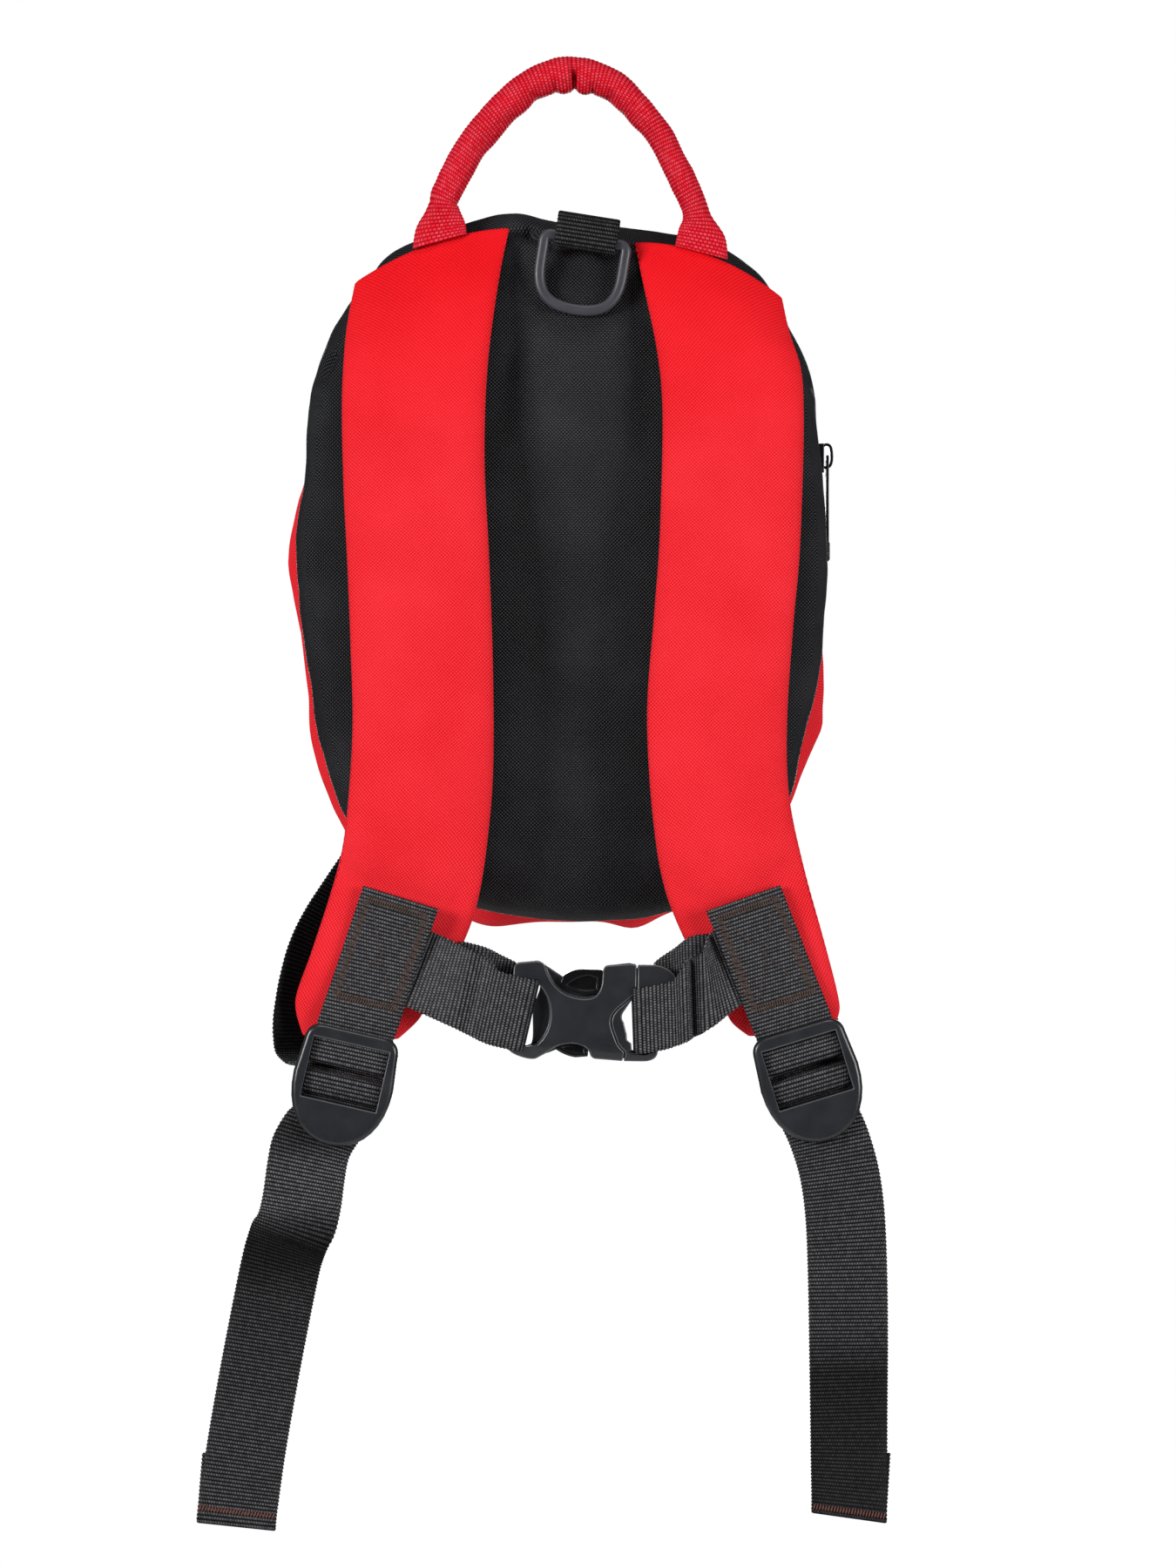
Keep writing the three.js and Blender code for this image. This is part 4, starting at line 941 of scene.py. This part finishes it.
def webbing(name, stations, per_span=5, pale_share_at=lambda p: 1):
    """Flat woven strip along stations of place, width direction and width, with ribs and bumpy selvedges."""
    fine = smooth_stations(stations, per_span)
    even = evenly_spaced(fine, [s[0] for s in fine], RIB_STEP)
    last = len(even) - 1
    rings = []
    strips[name] = []
    for i, (at, across, width) in enumerate(even):
        along = even[min(i + 3, last)][0] - even[max(i - 3, 0)][0]
        face = across.cross(along).normalized()
        rib = RIB_HEIGHT * math.cos(RIB_TURN * i)
        bump = SELVEDGE["bump"] * math.sin(RIB_TURN * i + SELVEDGE["phase"])
        strips[name].append((at, across.normalized(), face))
        ring = []
        for u, h in WEB_SECTION:
            half = width / 2 + (bump if abs(u) > SELVEDGE["starts"] else 0)
            ring.append(at + across * (u * half) + face * (h * (WEB_THICK / 2 + rib)))
        rings.append(ring)

    def uv_at(i, j, strip):
        u = WEB_SECTION[j % len(WEB_SECTION)][0]
        return (u * even[i][2] / 2 + WEAVE_SHIFT, (i + 0.5) * RIB_STEP)

    return loft(name, rings, uv_at, BLACK_WEBBING, shade_attribute=("shade_and_wear", pale_share_at))


def strip_point(name, along, aside, lift):
    """A place on a strip: millimetres along it, aside from its middle line, and out from its front face."""
    rows = strips[name]
    at, across, face = rows[clamp(round(along / RIB_STEP), 0, len(rows) - 1)]
    front = face if face.y < 0 else -face
    return at + across * aside + front * (WEB_THICK / 2 + RIB_HEIGHT + lift), front


def view_station(row, width=WEB_WIDTH):
    """Station of a strip from its place, its turn in the view plane and its lean out of that plane."""
    x, y, z, turn, lean = row
    across = view_across(turn) * math.cos(math.radians(lean)) + Vector((0, math.sin(math.radians(lean)), 0))
    return (Vector((x, y, z)), across, width)


def lock_frame(lock):
    """Origin of a lock and its directions across, down and out towards the viewer."""
    across = view_across(lock["turn"])
    down = Vector((across.z, 0, -across.x))
    return Vector((lock["x"], lock["y"], lock["z"])), across, down, Vector((0, -1, 0))


def lock_tab(side):
    """Webbing sewn on the strap's end, round the lock's upper bar and back to the strap."""
    facts = SIDES[side]
    origin, across, down, out = lock_frame(facts["lock"])
    entry = origin + down + out * OVER_BAR
    stations = []
    for i in range(PATCH_STEPS):
        share = i / PATCH_STEPS
        x = mix(facts["patch_top"][0], entry.x, share)
        z = mix(facts["patch_top"][1], entry.z, share)
        tilt = PATCH_TILT * facts["outward"] * clamp((1 - share) / 0.3, 0, 1)
        y = min(strap_front(side, x, z) - PATCH_LIFT, entry.y) - abs(tilt) * WEB_WIDTH / 2
        askew = view_across(facts["patch_cut"]).lerp(across, fade(share, 0, 0.5))
        stations.append((Vector((x, y, z)), (askew + Vector((0, tilt, 0))).normalized(), WEB_WIDTH))
    end = LOCK["tab_bar"][1] + BAR_GAP + 0.6
    turn = [  # down the lock, out from its middle plane
        (1, OVER_BAR), (6, OVER_BAR), (end - 0.9, OVER_BAR), (end - 0.1, OVER_BAR - 0.9),
        (end - 0.1, UNDER_BAR + 0.9), (end - 0.9, UNDER_BAR), (LOCK["tab_bar"][0] - 1.8, UNDER_BAR)]
    stations += [(origin + down * d + out * n, across, LOCK_WEB_WIDTH) for d, n in turn]
    piece = webbing("lock_tab_webbing_" + side, stations)
    dress(piece, "pack", "black_webbing", "lock_tab_" + side)


def adjuster_web(side):
    """Webbing from the bag's lower corner, over the lock's lower bar and down to a folded hem."""
    facts = SIDES[side]
    origin, across, down, out = lock_frame(facts["lock"])
    rise = LOCK["web_bar"][0] - BAR_GAP
    fall = LOCK["web_bar"][1] + BAR_GAP + 1.8
    turn = [  # down the lock, out from its middle plane
        (rise - 2.6, -6.6), (rise - 0.6, -4), (rise, -1.6), (rise + 0.1, OVER_BAR - 0.9),
        (rise + 0.9, OVER_BAR), (fall - 2.4, OVER_BAR), (fall - 0.9, OVER_BAR - 0.6),
        (fall - 0.2, OVER_BAR - 1.6), (fall + 0.4, -0.9), (fall + 3, -1.2)]
    stations = [view_station(row) for row in smooth_rows(facts["lower_web"], LOWER_WEB_ROWS)]
    for d, n in turn:
        behind_lock = n < UNDER_BAR
        aside = facts["outward"] * BEHIND_SHIFT if behind_lock else 0
        width = WEB_WIDTH if behind_lock else LOCK_WEB_WIDTH
        stations.append((origin + across * aside + down * d + out * n, across, width))
    hanging = smooth_rows(facts["tail"], TAIL_ROWS)
    end_x, end_y, end_z, end_turn, end_lean = facts["tail"][-1]
    behind = WEB_THICK + HEM_GAP
    fold = [(end_x, end_y + behind / 2, end_z - 1, end_turn, end_lean)]
    hem = []
    for x, y, z, turn_at, lean in reversed(hanging):
        if z < end_z + HEM_LENGTH:
            shift = facts["outward"] * HEM_SHIFT * (z - end_z) / HEM_LENGTH
            hem.append((x + shift, y + behind, z, turn_at, lean))
    stations += [view_station(row) for row in [*hanging, *fold, *hem]]
    # Painted shade along the webbing by height, from the side's table.
    piece = webbing("adjuster_webbing_" + side, stations, 4, lambda p: look_up(facts["shade_and_wear"], p.z)[1])
    dress(piece, "pack", "black_webbing", "adjuster_web_" + side)


buckle_along = view_across(BUCKLE["turn"])
buckle_up = Vector((-buckle_along.z, 0, buckle_along.x))
buckle_middle = Vector((BUCKLE["x"], BUCKLE["y"], BUCKLE["z"]))


def buckle_place(along, up, out):
    return buckle_middle + buckle_along * along + buckle_up * up + Vector((0, -out, 0))


def chest_strap(side):
    """Chest webbing from under the patch, round the buckle's bar and back behind itself."""
    root = SIDES[side]["chest_root"]
    bar = SIDES[side]["bar"]
    level = BUCKLE["thick"] / 2 + BAR_GAP
    reach = BAR_HALF + BAR_GAP
    front, back, crease, width = bar["front_lift"], bar["back_lift"], bar["crease"], bar["width"]
    loop = [  # along from the bar, out, up, width
        (-18, level - 1.2 + crease * 0.3, front * 1.5, WEB_WIDTH),
        (-14.2, level - 1 - crease, front * 1.15, WEB_WIDTH),
        (-12, level - 1 + crease * 0.3, front * 0.95, WEB_WIDTH),
        (-8.8, level - 0.6, front * 0.45, width), (-1, level, front * 0.1, width),
        (reach - 1, level, 0, width), (reach, level - 1, 0, width),
        (reach, 1 - level, 0, width), (reach - 1, -level, 0, width),
        (-3, -level, back * 0.42, WEB_WIDTH), (-8.8, -level, back * 0.72, WEB_WIDTH),
        (-14, -2, back, WEB_WIDTH), (-22, -2.6, back + 1.5, WEB_WIDTH),
    ]
    upright = view_across(90 - root["lean"])
    under = Vector((upright.z, 0, -upright.x)) * (-bar["inward"] * UNDER_PATCH)
    rooted = Vector((root["x"], root["y"], root["z"]))
    stations = [(rooted + under + Vector((0, 1, 0)), upright, WEB_WIDTH), (rooted, upright, WEB_WIDTH)]
    tilt = math.radians(bar["lean"])
    across = buckle_up * math.cos(tilt) - buckle_along * math.sin(tilt)
    for along, out, lift, wide in loop:
        at = buckle_place(bar["at"] + bar["inward"] * along, bar["middle"] + lift, out)
        stations.append((at, across, wide))
    piece = webbing("chest_webbing_" + side, stations)
    dress(piece, "pack", "black_webbing", "chest_strap_" + side)


ring_axis = Vector((math.cos(math.radians(RING["tilt"])), 0, -math.sin(math.radians(RING["tilt"]))))
ring_down = Vector((ring_axis.z, 0, -ring_axis.x))
ring_origin = Vector((RING["x"], RING["y"], RING["z"]))


def ring_tab():
    """Short webbing folded round the ring's bar and sewn into the top seam."""
    turn = RING["bar"] / 2 + BAR_GAP
    seam = RING["y"] + 1.2
    top = TAB["top"]
    rows = [(-3.4, seam), (-2.2, -turn - 0.7), (-1, -turn)]  # down from the bar's middle, out
    rows += [(turn * math.sin(math.pi * k / 6), -turn * math.cos(math.pi * k / 6)) for k in range(1, 6)]
    rows += [(-1, turn), (2.4 - top, turn - 0.2), (0.6 - top, turn - 1.4), (-top, turn - TAB["rise"]),
             (1.4 - top, -turn - 0.6), (3 - top, seam + 0.8)]
    stations = [(ring_origin + ring_down * d + Vector((0, -n, 0)), ring_axis, TAB["width"]) for d, n in rows]
    piece = webbing("ring_tab_webbing", stations, 5, lambda p: TAB["shade_and_wear"])
    dress(piece, "pack", "black_webbing", "ring_tab")


# Moulded plastic


def outline_points(rows, steps=BEND_STEPS):
    """Points along an outline, with its bends cut into steps."""
    points = [Vector(rows[0])]
    for row in rows[1:]:
        bends = [points[-1]] + [Vector(row[k:k + 2]) for k in range(0, len(row), 2)]
        count = 1 if len(row) == 2 else steps
        for step in range(1, count + 1):
            chain = bends
            while len(chain) > 1:
                chain = [a.lerp(b, step / count) for a, b in zip(chain, chain[1:])]
            points.append(chain[0])
    if (points[0] - points[-1]).length < SAME_PLACE:
        points.pop()
    return points


def traced_plate(name, rows, low, high, rounding=0):
    """A disc whose corners are moved to an outline, extruded to its thickness and rounded at its rims."""
    points = outline_points(rows)
    bpy.ops.object.select_all(action="DESELECT")
    bpy.ops.mesh.primitive_circle_add(vertices=len(points), fill_type="NGON")
    piece = bpy.context.active_object
    piece.name = name
    for vertex, p in zip(piece.data.vertices, points):
        vertex.co = Vector((p.x, p.y, low)) * MM
    bpy.ops.object.mode_set(mode="EDIT")
    bpy.ops.mesh.select_all(action="SELECT")
    bpy.ops.mesh.extrude_region_move(TRANSFORM_OT_translate={"value": (0, 0, (high - low) * MM)})
    bpy.ops.mesh.select_all(action="SELECT")
    bpy.ops.mesh.normals_make_consistent(inside=False)
    bpy.ops.mesh.select_all(action="DESELECT")
    bpy.ops.object.mode_set(mode="OBJECT")
    if rounding:
        round_rims(piece, rounding)
    return piece


def round_rims(piece, width):
    """Rounds the edges that lie in the two faces of a plate."""
    select_only(piece)
    mesh = piece.data
    for part in (mesh.vertices, mesh.edges, mesh.polygons):
        part.foreach_set("select", [False] * len(part))
    for edge in mesh.edges:
        start, end = [mesh.vertices[k].co.z for k in edge.vertices]
        edge.select = abs(start - end) < SAME_LEVEL
    bpy.ops.object.mode_set(mode="EDIT")
    bpy.ops.mesh.select_mode(type="EDGE")
    bpy.ops.mesh.bevel(offset=width * MM, segments=4, affect="EDGES", clamp_overlap=True)
    bpy.ops.object.mode_set(mode="OBJECT")


def block(low, high):
    """A cube primitive stretched between two corners."""
    bpy.ops.object.select_all(action="DESELECT")
    bpy.ops.mesh.primitive_cube_add(size=1)
    tool = bpy.context.active_object
    tool.location = [(a + b) / 2 * MM for a, b in zip(low, high)]
    tool.scale = [(b - a) * MM for a, b in zip(low, high)]
    bpy.ops.object.transform_apply(location=True, rotation=True, scale=True)
    return tool


def combine(piece, tool, operation):
    """Cuts a tool out of a piece, or joins it on, and takes the tool away."""
    apply_modifier(piece, "BOOLEAN", operation=operation, object=tool, solver="EXACT")
    bpy.data.objects.remove(tool, do_unlink=True)


def finish_moulding(piece, material, to_frame, edge):
    """Breaks the sharp edges, marks them as rims for a painted highlight, sets the finish and moves the piece
    to its place.

    The bevel isn't clamped, because the shortest edges would flatten it. Where it overshoots, it is pulled
    back to the sharp shape.
    """
    piece.data.materials.clear()
    piece.data.materials.append(material)
    piece.data.materials.append(material)
    piece.data.polygons.foreach_set("material_index", [0] * len(piece.data.polygons))
    apply_modifier(piece, "WELD", merge_threshold=SHORTEST_EDGE * MM)
    mesh = piece.data
    sharp = BVHTree.FromPolygons([v.co for v in mesh.vertices], [face.vertices for face in mesh.polygons])
    apply_modifier(piece, "BEVEL", width=edge * MM, segments=3, limit_method="ANGLE",
                   angle_limit=math.radians(BEVEL_ANGLE), material=1, use_clamp_overlap=False)
    for vertex in piece.data.vertices:
        spot, _, _, miss = sharp.find_nearest(vertex.co)
        if miss > BEVEL_REACH * edge * MM:
            vertex.co = spot
    # The bevel's faces are marked as rims, for the painted highlight.
    rims = piece.data.attributes.new("rim", "FLOAT", "FACE")
    for spot, face in zip(rims.data, piece.data.polygons):
        spot.value = face.material_index
    piece.data.polygons.foreach_set("material_index", [0] * len(piece.data.polygons))
    piece.data.materials.pop(index=1)
    select_only(piece)
    bpy.ops.object.shade_smooth_by_angle(angle=math.radians(SMOOTH_ANGLE))
    apply_modifier(piece, "WEIGHTED_NORMAL", keep_sharp=True)
    piece.matrix_world = to_frame
    bpy.ops.object.transform_apply(location=True, rotation=True, scale=True)


def basis(across, up, out, origin):
    """Matrix that carries a moulding from its own frame to its place in the part."""
    turn = Matrix((across, up, out)).transposed().to_4x4()
    return Matrix.Translation(origin * MM) @ turn


def ladder_lock(side):
    """Strap adjuster: a rounded frame with a bar in front, two bars for webbing and a thumb tongue."""
    origin, across, down, out = lock_frame(SIDES[side]["lock"])
    inner = LOCK["width"] / 2 - LOCK["rail"]
    low = LOCK["back"] - 1
    high = LOCK["front"] + 1
    cuts = [  # the opening, the way behind the front bar, and the back of the tongue
        ((-inner, -LOCK["tongue"], low), (inner, -LOCK["top_bar"], high)),
        ((-inner, -LOCK["top_bar"] - 1, low), (inner, 1, LOCK["bar_under"])),
        ((-LOCK["width"], -LOCK["length"] - 1, low),
         (LOCK["width"], 1 - LOCK["tongue"], LOCK["tongue_under"])),
    ]
    piece = traced_plate("lock_moulding_" + side, LOCK_OUTLINE, LOCK["back"], LOCK["front"], LOCK["rounding"])
    for corners in cuts:
        combine(piece, block(*corners), "DIFFERENCE")
    for near, far in (LOCK["tab_bar"], LOCK["web_bar"]):
        bar = block((-inner - 1, -far, LOCK["bar_from"]), (inner + 1, -near, LOCK["bar_to"]))
        combine(piece, bar, "UNION")
    finish_moulding(piece, GREY_ACETAL, basis(across, -down, out, origin), LOCK["edge"])
    dress(piece, "pack", "grey_plastic", "ladder_lock_" + side)


def buckle_plate(name, rows, slot, low, high):
    """A plate of the buckle with its webbing slot, cut into strips so that its face can be curved."""
    piece = traced_plate(name, rows, low, high)
    combine(piece, traced_plate("slot_tool", slot, low - 1, high + 1), "DIFFERENCE")
    select_only(piece)
    bpy.ops.object.mode_set(mode="EDIT")
    for level in BUCKLE_LEVELS:
        bpy.ops.mesh.select_all(action="SELECT")
        bpy.ops.mesh.bisect(plane_co=(0, level * MM, 0), plane_no=(0, 1, 0))
    bpy.ops.object.mode_set(mode="OBJECT")
    return piece


def curve_face(piece):
    """Thins a buckle piece towards its long sides, so that its arms are round."""
    for vertex in piece.data.vertices:
        vertex.co.z *= 1 - BUCKLE_THINNING * (vertex.co.y / MM / BUCKLE_HALF) ** 4


def buckle():
    """Side-release buckle, fastened: socket with scooped windows, plug, and prongs that fill the windows."""
    to_frame = basis(buckle_along, buckle_up, Vector((0, -1, 0)), buckle_middle)
    half = BUCKLE["thick"] / 2
    socket = buckle_plate("buckle_socket_moulding", SOCKET_BACK, SLOT_BACK, -half, SHELL_OVERLAP)
    combine(socket, buckle_plate("front_tool", SOCKET_FRONT, SLOT_FRONT, 0, half), "UNION")
    combine(socket, block(*SOCKET_CAVITY), "DIFFERENCE")
    curve_face(socket)
    finish_moulding(socket, GREY_ACETAL, to_frame, BUCKLE["edge"])
    dress(socket, "pack", "grey_plastic", "buckle_socket")
    plug = buckle_plate("buckle_plug_moulding", PLUG_OUTLINE, PLUG_SLOT, -half, half)
    plug.location.x = MOUTH_CLEAR * MM
    select_only(plug)
    bpy.ops.object.transform_apply(location=True, rotation=False, scale=False)
    combine(plug, block(*PLUG_STEM), "UNION")
    combine(plug, traced_plate("slot_tool", PLUG_SLOT, -half - 1, half + 1), "DIFFERENCE")
    curve_face(plug)
    finish_moulding(plug, GREY_ACETAL, to_frame, BUCKLE["edge"])
    dress(plug, "pack", "grey_plastic", "buckle_plug")
    for name, (outer, hollow) in PRONGS.items():
        prong = traced_plate("buckle_prong_" + name, outer, PRONG["back"], PRONG["front"], PRONG["rounding"])
        combine(prong, traced_plate("hollow_tool", hollow, PRONG["hollow_floor"], TOOL_REACH), "DIFFERENCE")
        finish_moulding(prong, GLOSS_ACETAL, to_frame, PRONG["edge"])
        dress(prong, "pack", "grey_plastic")


def d_ring():
    """Moulded ring with a softly squared section, hanging in its tab."""
    path = [Vector((x, y, 0)) for x, y in outline_points(RING_OUTLINE, RING["bend_steps"])]
    dense = []
    for a, b in zip(path, path[1:] + path[:1]):
        pieces = max(1, round((b - a).length / RING["step"]))
        dense += [a.lerp(b, k / pieces) for k in range(pieces)]
    rings = []
    for i, spot in enumerate(dense):
        along = (dense[(i + 1) % len(dense)] - dense[i - 1]).normalized()
        ring = []
        for k in range(RING["sides"]):
            angle = 2 * math.pi * k / RING["sides"]
            swell = (abs(math.cos(angle)) ** 3 + abs(math.sin(angle)) ** 3) ** (-1 / 3)
            out = RING["bar"] / 2 * swell * math.cos(angle)
            deep = RING["bar"] / 2 * RING["flatness"] * swell * math.sin(angle)
            a = spot.x + along.y * out
            d = spot.y - along.x * out
            ring.append(ring_origin + ring_axis * a + ring_down * d + Vector((0, -deep, 0)))
        rings.append(ring)
    piece = loft("ring_moulding", rings + rings[:1], lambda i, j, strip: (j, i), RING_ACETAL,
                 first_cap=False, last_cap=False)
    apply_modifier(piece, "WELD", merge_threshold=1e-6)
    dress(piece, "d_ring", "grey_plastic", "d_ring")


# Stitching


def thread_piece(name, strokes, radius, material, slot):
    """Stitches in one mesh. Each stroke is a short thread between two points that dips at its ends."""
    points = []
    faces = []
    sides = range(THREAD_SIDES)
    for start, end, front in strokes:
        first = len(points)
        along = (end - start).normalized()
        aside = along.cross(front).normalized()
        for share, size, sink in THREAD_RINGS:
            middle = start.lerp(end, share) - front * (sink * radius)
            for k in sides:
                turn = 2 * math.pi * k / THREAD_SIDES
                points.append(middle + (aside * math.cos(turn) + front * math.sin(turn)) * (radius * size))
        for ring in range(len(THREAD_RINGS) - 1):
            low = first + ring * THREAD_SIDES
            for k in sides:
                a = low + k
                b = low + (k + 1) % THREAD_SIDES
                faces.append([a, b, b + THREAD_SIDES, a + THREAD_SIDES])
        faces.append([first + k for k in reversed(sides)])
        faces.append([len(points) - THREAD_SIDES + k for k in sides])
    piece = make_piece(name, points, faces, material)
    dress(piece, "pack", slot)


def web_strokes(strip, corners, pitch, lift, ends):
    """Strokes along straight runs between corners, given as millimetres along and aside on a strip.

    The two ends of a stroke are a share of its pitch along the run and millimetres aside from it.
    """
    strokes = []
    for here, there in zip(corners, corners[1:]):
        run = Vector(there) - Vector(here)
        across = Vector((-run.y, run.x)).normalized()
        count = max(1, round(run.length / pitch))
        for k in range(count):
            spots = [Vector(here) + run * ((k + share) / count) + across * aside for share, aside in ends]
            (start, front), (end, _) = [strip_point(strip, p.x, p.y, lift) for p in spots]
            strokes.append((start, end, front))
    return strokes


def stitching(side):
    """Zigzag box with a cross on the patch, and a row across the hem."""
    patch = "lock_tab_webbing_" + side
    top, bottom, half, inset = PATCH_BOX.values()
    box = [(top, -half), (top, half), (bottom, half), (bottom, -half), (top, -half)]
    zigzag = web_strokes(patch, box, **PATCH_ZIGZAG)
    thread_piece("patch_box_stitch_" + side, zigzag, THREAD["box"], BROWN_THREAD, "black_webbing")
    cross = []
    for reach in (half - inset, inset - half):
        cross += web_strokes(patch, [(top + inset, -reach), (bottom - inset, reach)], **CROSS_STITCH)
    thread_piece("patch_cross_stitch_" + side, cross, THREAD["cross"], BROWN_THREAD, "black_webbing")
    tail = "adjuster_webbing_" + side
    end = min(range(len(strips[tail])), key=lambda i: strips[tail][i][0].z) * RIB_STEP
    row = end - SIDES[side]["hem_row"]
    hem = web_strokes(tail, [(row, -HEM_HALF), (row, HEM_HALF)], **HEM_ZIGZAG)
    thread_piece("hem_stitch_" + side, hem, THREAD["hem"], RUST_THREAD, "black_webbing")


def strap_seam(side):
    """Fine seam stitches along both edges of a strap."""
    rows = smooth_rows(SIDES[side]["strap"], STRAP_SEAM["rows"])
    strokes = []
    for edge in (-STRAP_SEAM["edge"], STRAP_SEAM["edge"]):
        line = [strap_point(row, edge, -1) for row in rows[STRAP_SEAM["first"]:STRAP_SEAM["last"]]]
        even = evenly_spaced([tuple(p) for p in line], line, STRAP_SEAM["step"])
        for a, b in zip(even[::2], even[1::2]):
            strokes.append((Vector(a), Vector(b), Vector((0, -1, 0))))
    thread_piece("strap_seam_stitch_" + side, strokes, THREAD["strap"], RED_THREAD, "red_cloth")


# Zip


def zip_line():
    """Points of the gusset's recess from the zip's left end over the top to its right, and the way out."""
    middle = Vector((0, BAG_MID_Z))
    held = [p for p in outline if p.y > ZIP["lowest_z"]]
    held.sort(key=lambda p: math.atan2(p.x, p.y - BAG_MID_Z))
    line = [middle + (p - middle) * ZIP["scale"] for p in held]
    even = evenly_spaced([(p.x, p.y) for p in line], line, ZIP["teeth"] / 2)
    spots = []
    for i, (x, z) in enumerate(even):
        before = even[max(i - 1, 0)]
        after = even[min(i + 1, len(even) - 1)]
        along = Vector((after[0] - before[0], after[1] - before[1])).normalized()
        spots.append((Vector((x, 0, z)), Vector((-along.y, 0, along.x))))
    return spots


def zip_fastener():
    """Zip tape with two rows of meshed teeth."""
    spots = zip_line()
    near, far = ZIP["tape_from"], ZIP["tape_to"]
    tape = []
    for at, out in spots:
        low = at + out * ZIP["lift"]
        high = at + out * (ZIP["lift"] + ZIP["tape"])
        edges = [(low, near), (high, near), (high, far), (low, far)]
        tape.append([p + Vector((0, y, 0)) for p, y in edges])
    piece = loft("zip_tape", tape, lambda i, j, strip: (TAPE_ROUND[j], i * ZIP["teeth"] / 2), BLACK_NYLON)
    dress(piece, "pack", "black_cloth", "zip_chain")
    middle = (near + far) / 2
    strokes = []
    for i, (at, out) in enumerate(spots):
        side = 1 if i % 2 else -1
        crown = at + out * (ZIP["lift"] + ZIP["crown"])
        inner = crown + Vector((0, middle - side * ZIP["inner"], 0))
        outer = crown + Vector((0, middle + side * ZIP["outer"], 0))
        strokes.append((inner, outer, out))
    thread_piece("zip_teeth", strokes, ZIP["radius"], GLOSS_ACETAL, "gloss_plastic")


def zip_slider():
    """Slider with a hooked bail, and the pull that hangs from it."""
    place = Vector((SLIDER["x"], SLIDER["y"], SLIDER["z"]))
    body = block(*[place + Vector(corner) for corner in SLIDER_BODY])
    body.name = "zip_slider_body"
    combine(body, block(*[place + Vector(corner) for corner in SLIDER_NOTCH]), "DIFFERENCE")
    finish_moulding(body, GLOSS_ACETAL, Matrix.Identity(4), SLIDER["edge"])
    dress(body, "pack", "gloss_plastic", "zip_slider")
    path = [place + Vector((out, 0, up)) for out, up in smooth_rows(BAIL_PATH, BAIL["steps"])]
    corners = ((-1, -1), (1, -1), (1, 1), (-1, 1))
    rings = []
    for i, spot in enumerate(path):
        along = path[min(i + 1, len(path) - 1)] - path[max(i - 1, 0)]
        thick = Vector((along.z, 0, -along.x)).normalized() * BAIL["half_thick"]
        rings.append([spot + thick * a + Vector((0, BAIL["half_width"] * b, 0)) for a, b in corners])
    bail = loft("zip_slider_bail", rings, lambda i, j, strip: (j, i), GLOSS_ACETAL)
    finish_moulding(bail, GLOSS_ACETAL, Matrix.Identity(4), BAIL["edge"])
    dress(bail, "pack", "gloss_plastic")
    pull = traced_plate("zip_pull_plate", PULL_OUTLINE, -PULL["thick"] / 2, PULL["thick"] / 2)
    combine(pull, block(*PULL_EYE), "DIFFERENCE")
    combine(pull, block(*PULL_GRIP), "UNION")
    hung = Vector((PULL["x"], SLIDER["y"], SLIDER["z"]))
    edge_on = basis(Vector((0, -1, 0)), Vector((0, 0, 1)), Vector((-1, 0, 0)), hung)
    finish_moulding(pull, GLOSS_ACETAL, edge_on, PULL["edge"])
    dress(pull, "zip_pull", "gloss_plastic", "zip_pull")


set_camera()
set_stage()
bag_body()
front_panel()
grab_handle()
ring_tab()
d_ring()
buckle()
for strap_side in SIDES:
    shoulder_strap(strap_side)
    lock_tab(strap_side)
    adjuster_web(strap_side)
    chest_strap(strap_side)
    ladder_lock(strap_side)
    stitching(strap_side)
    strap_seam(strap_side)
zip_fastener()
zip_slider()
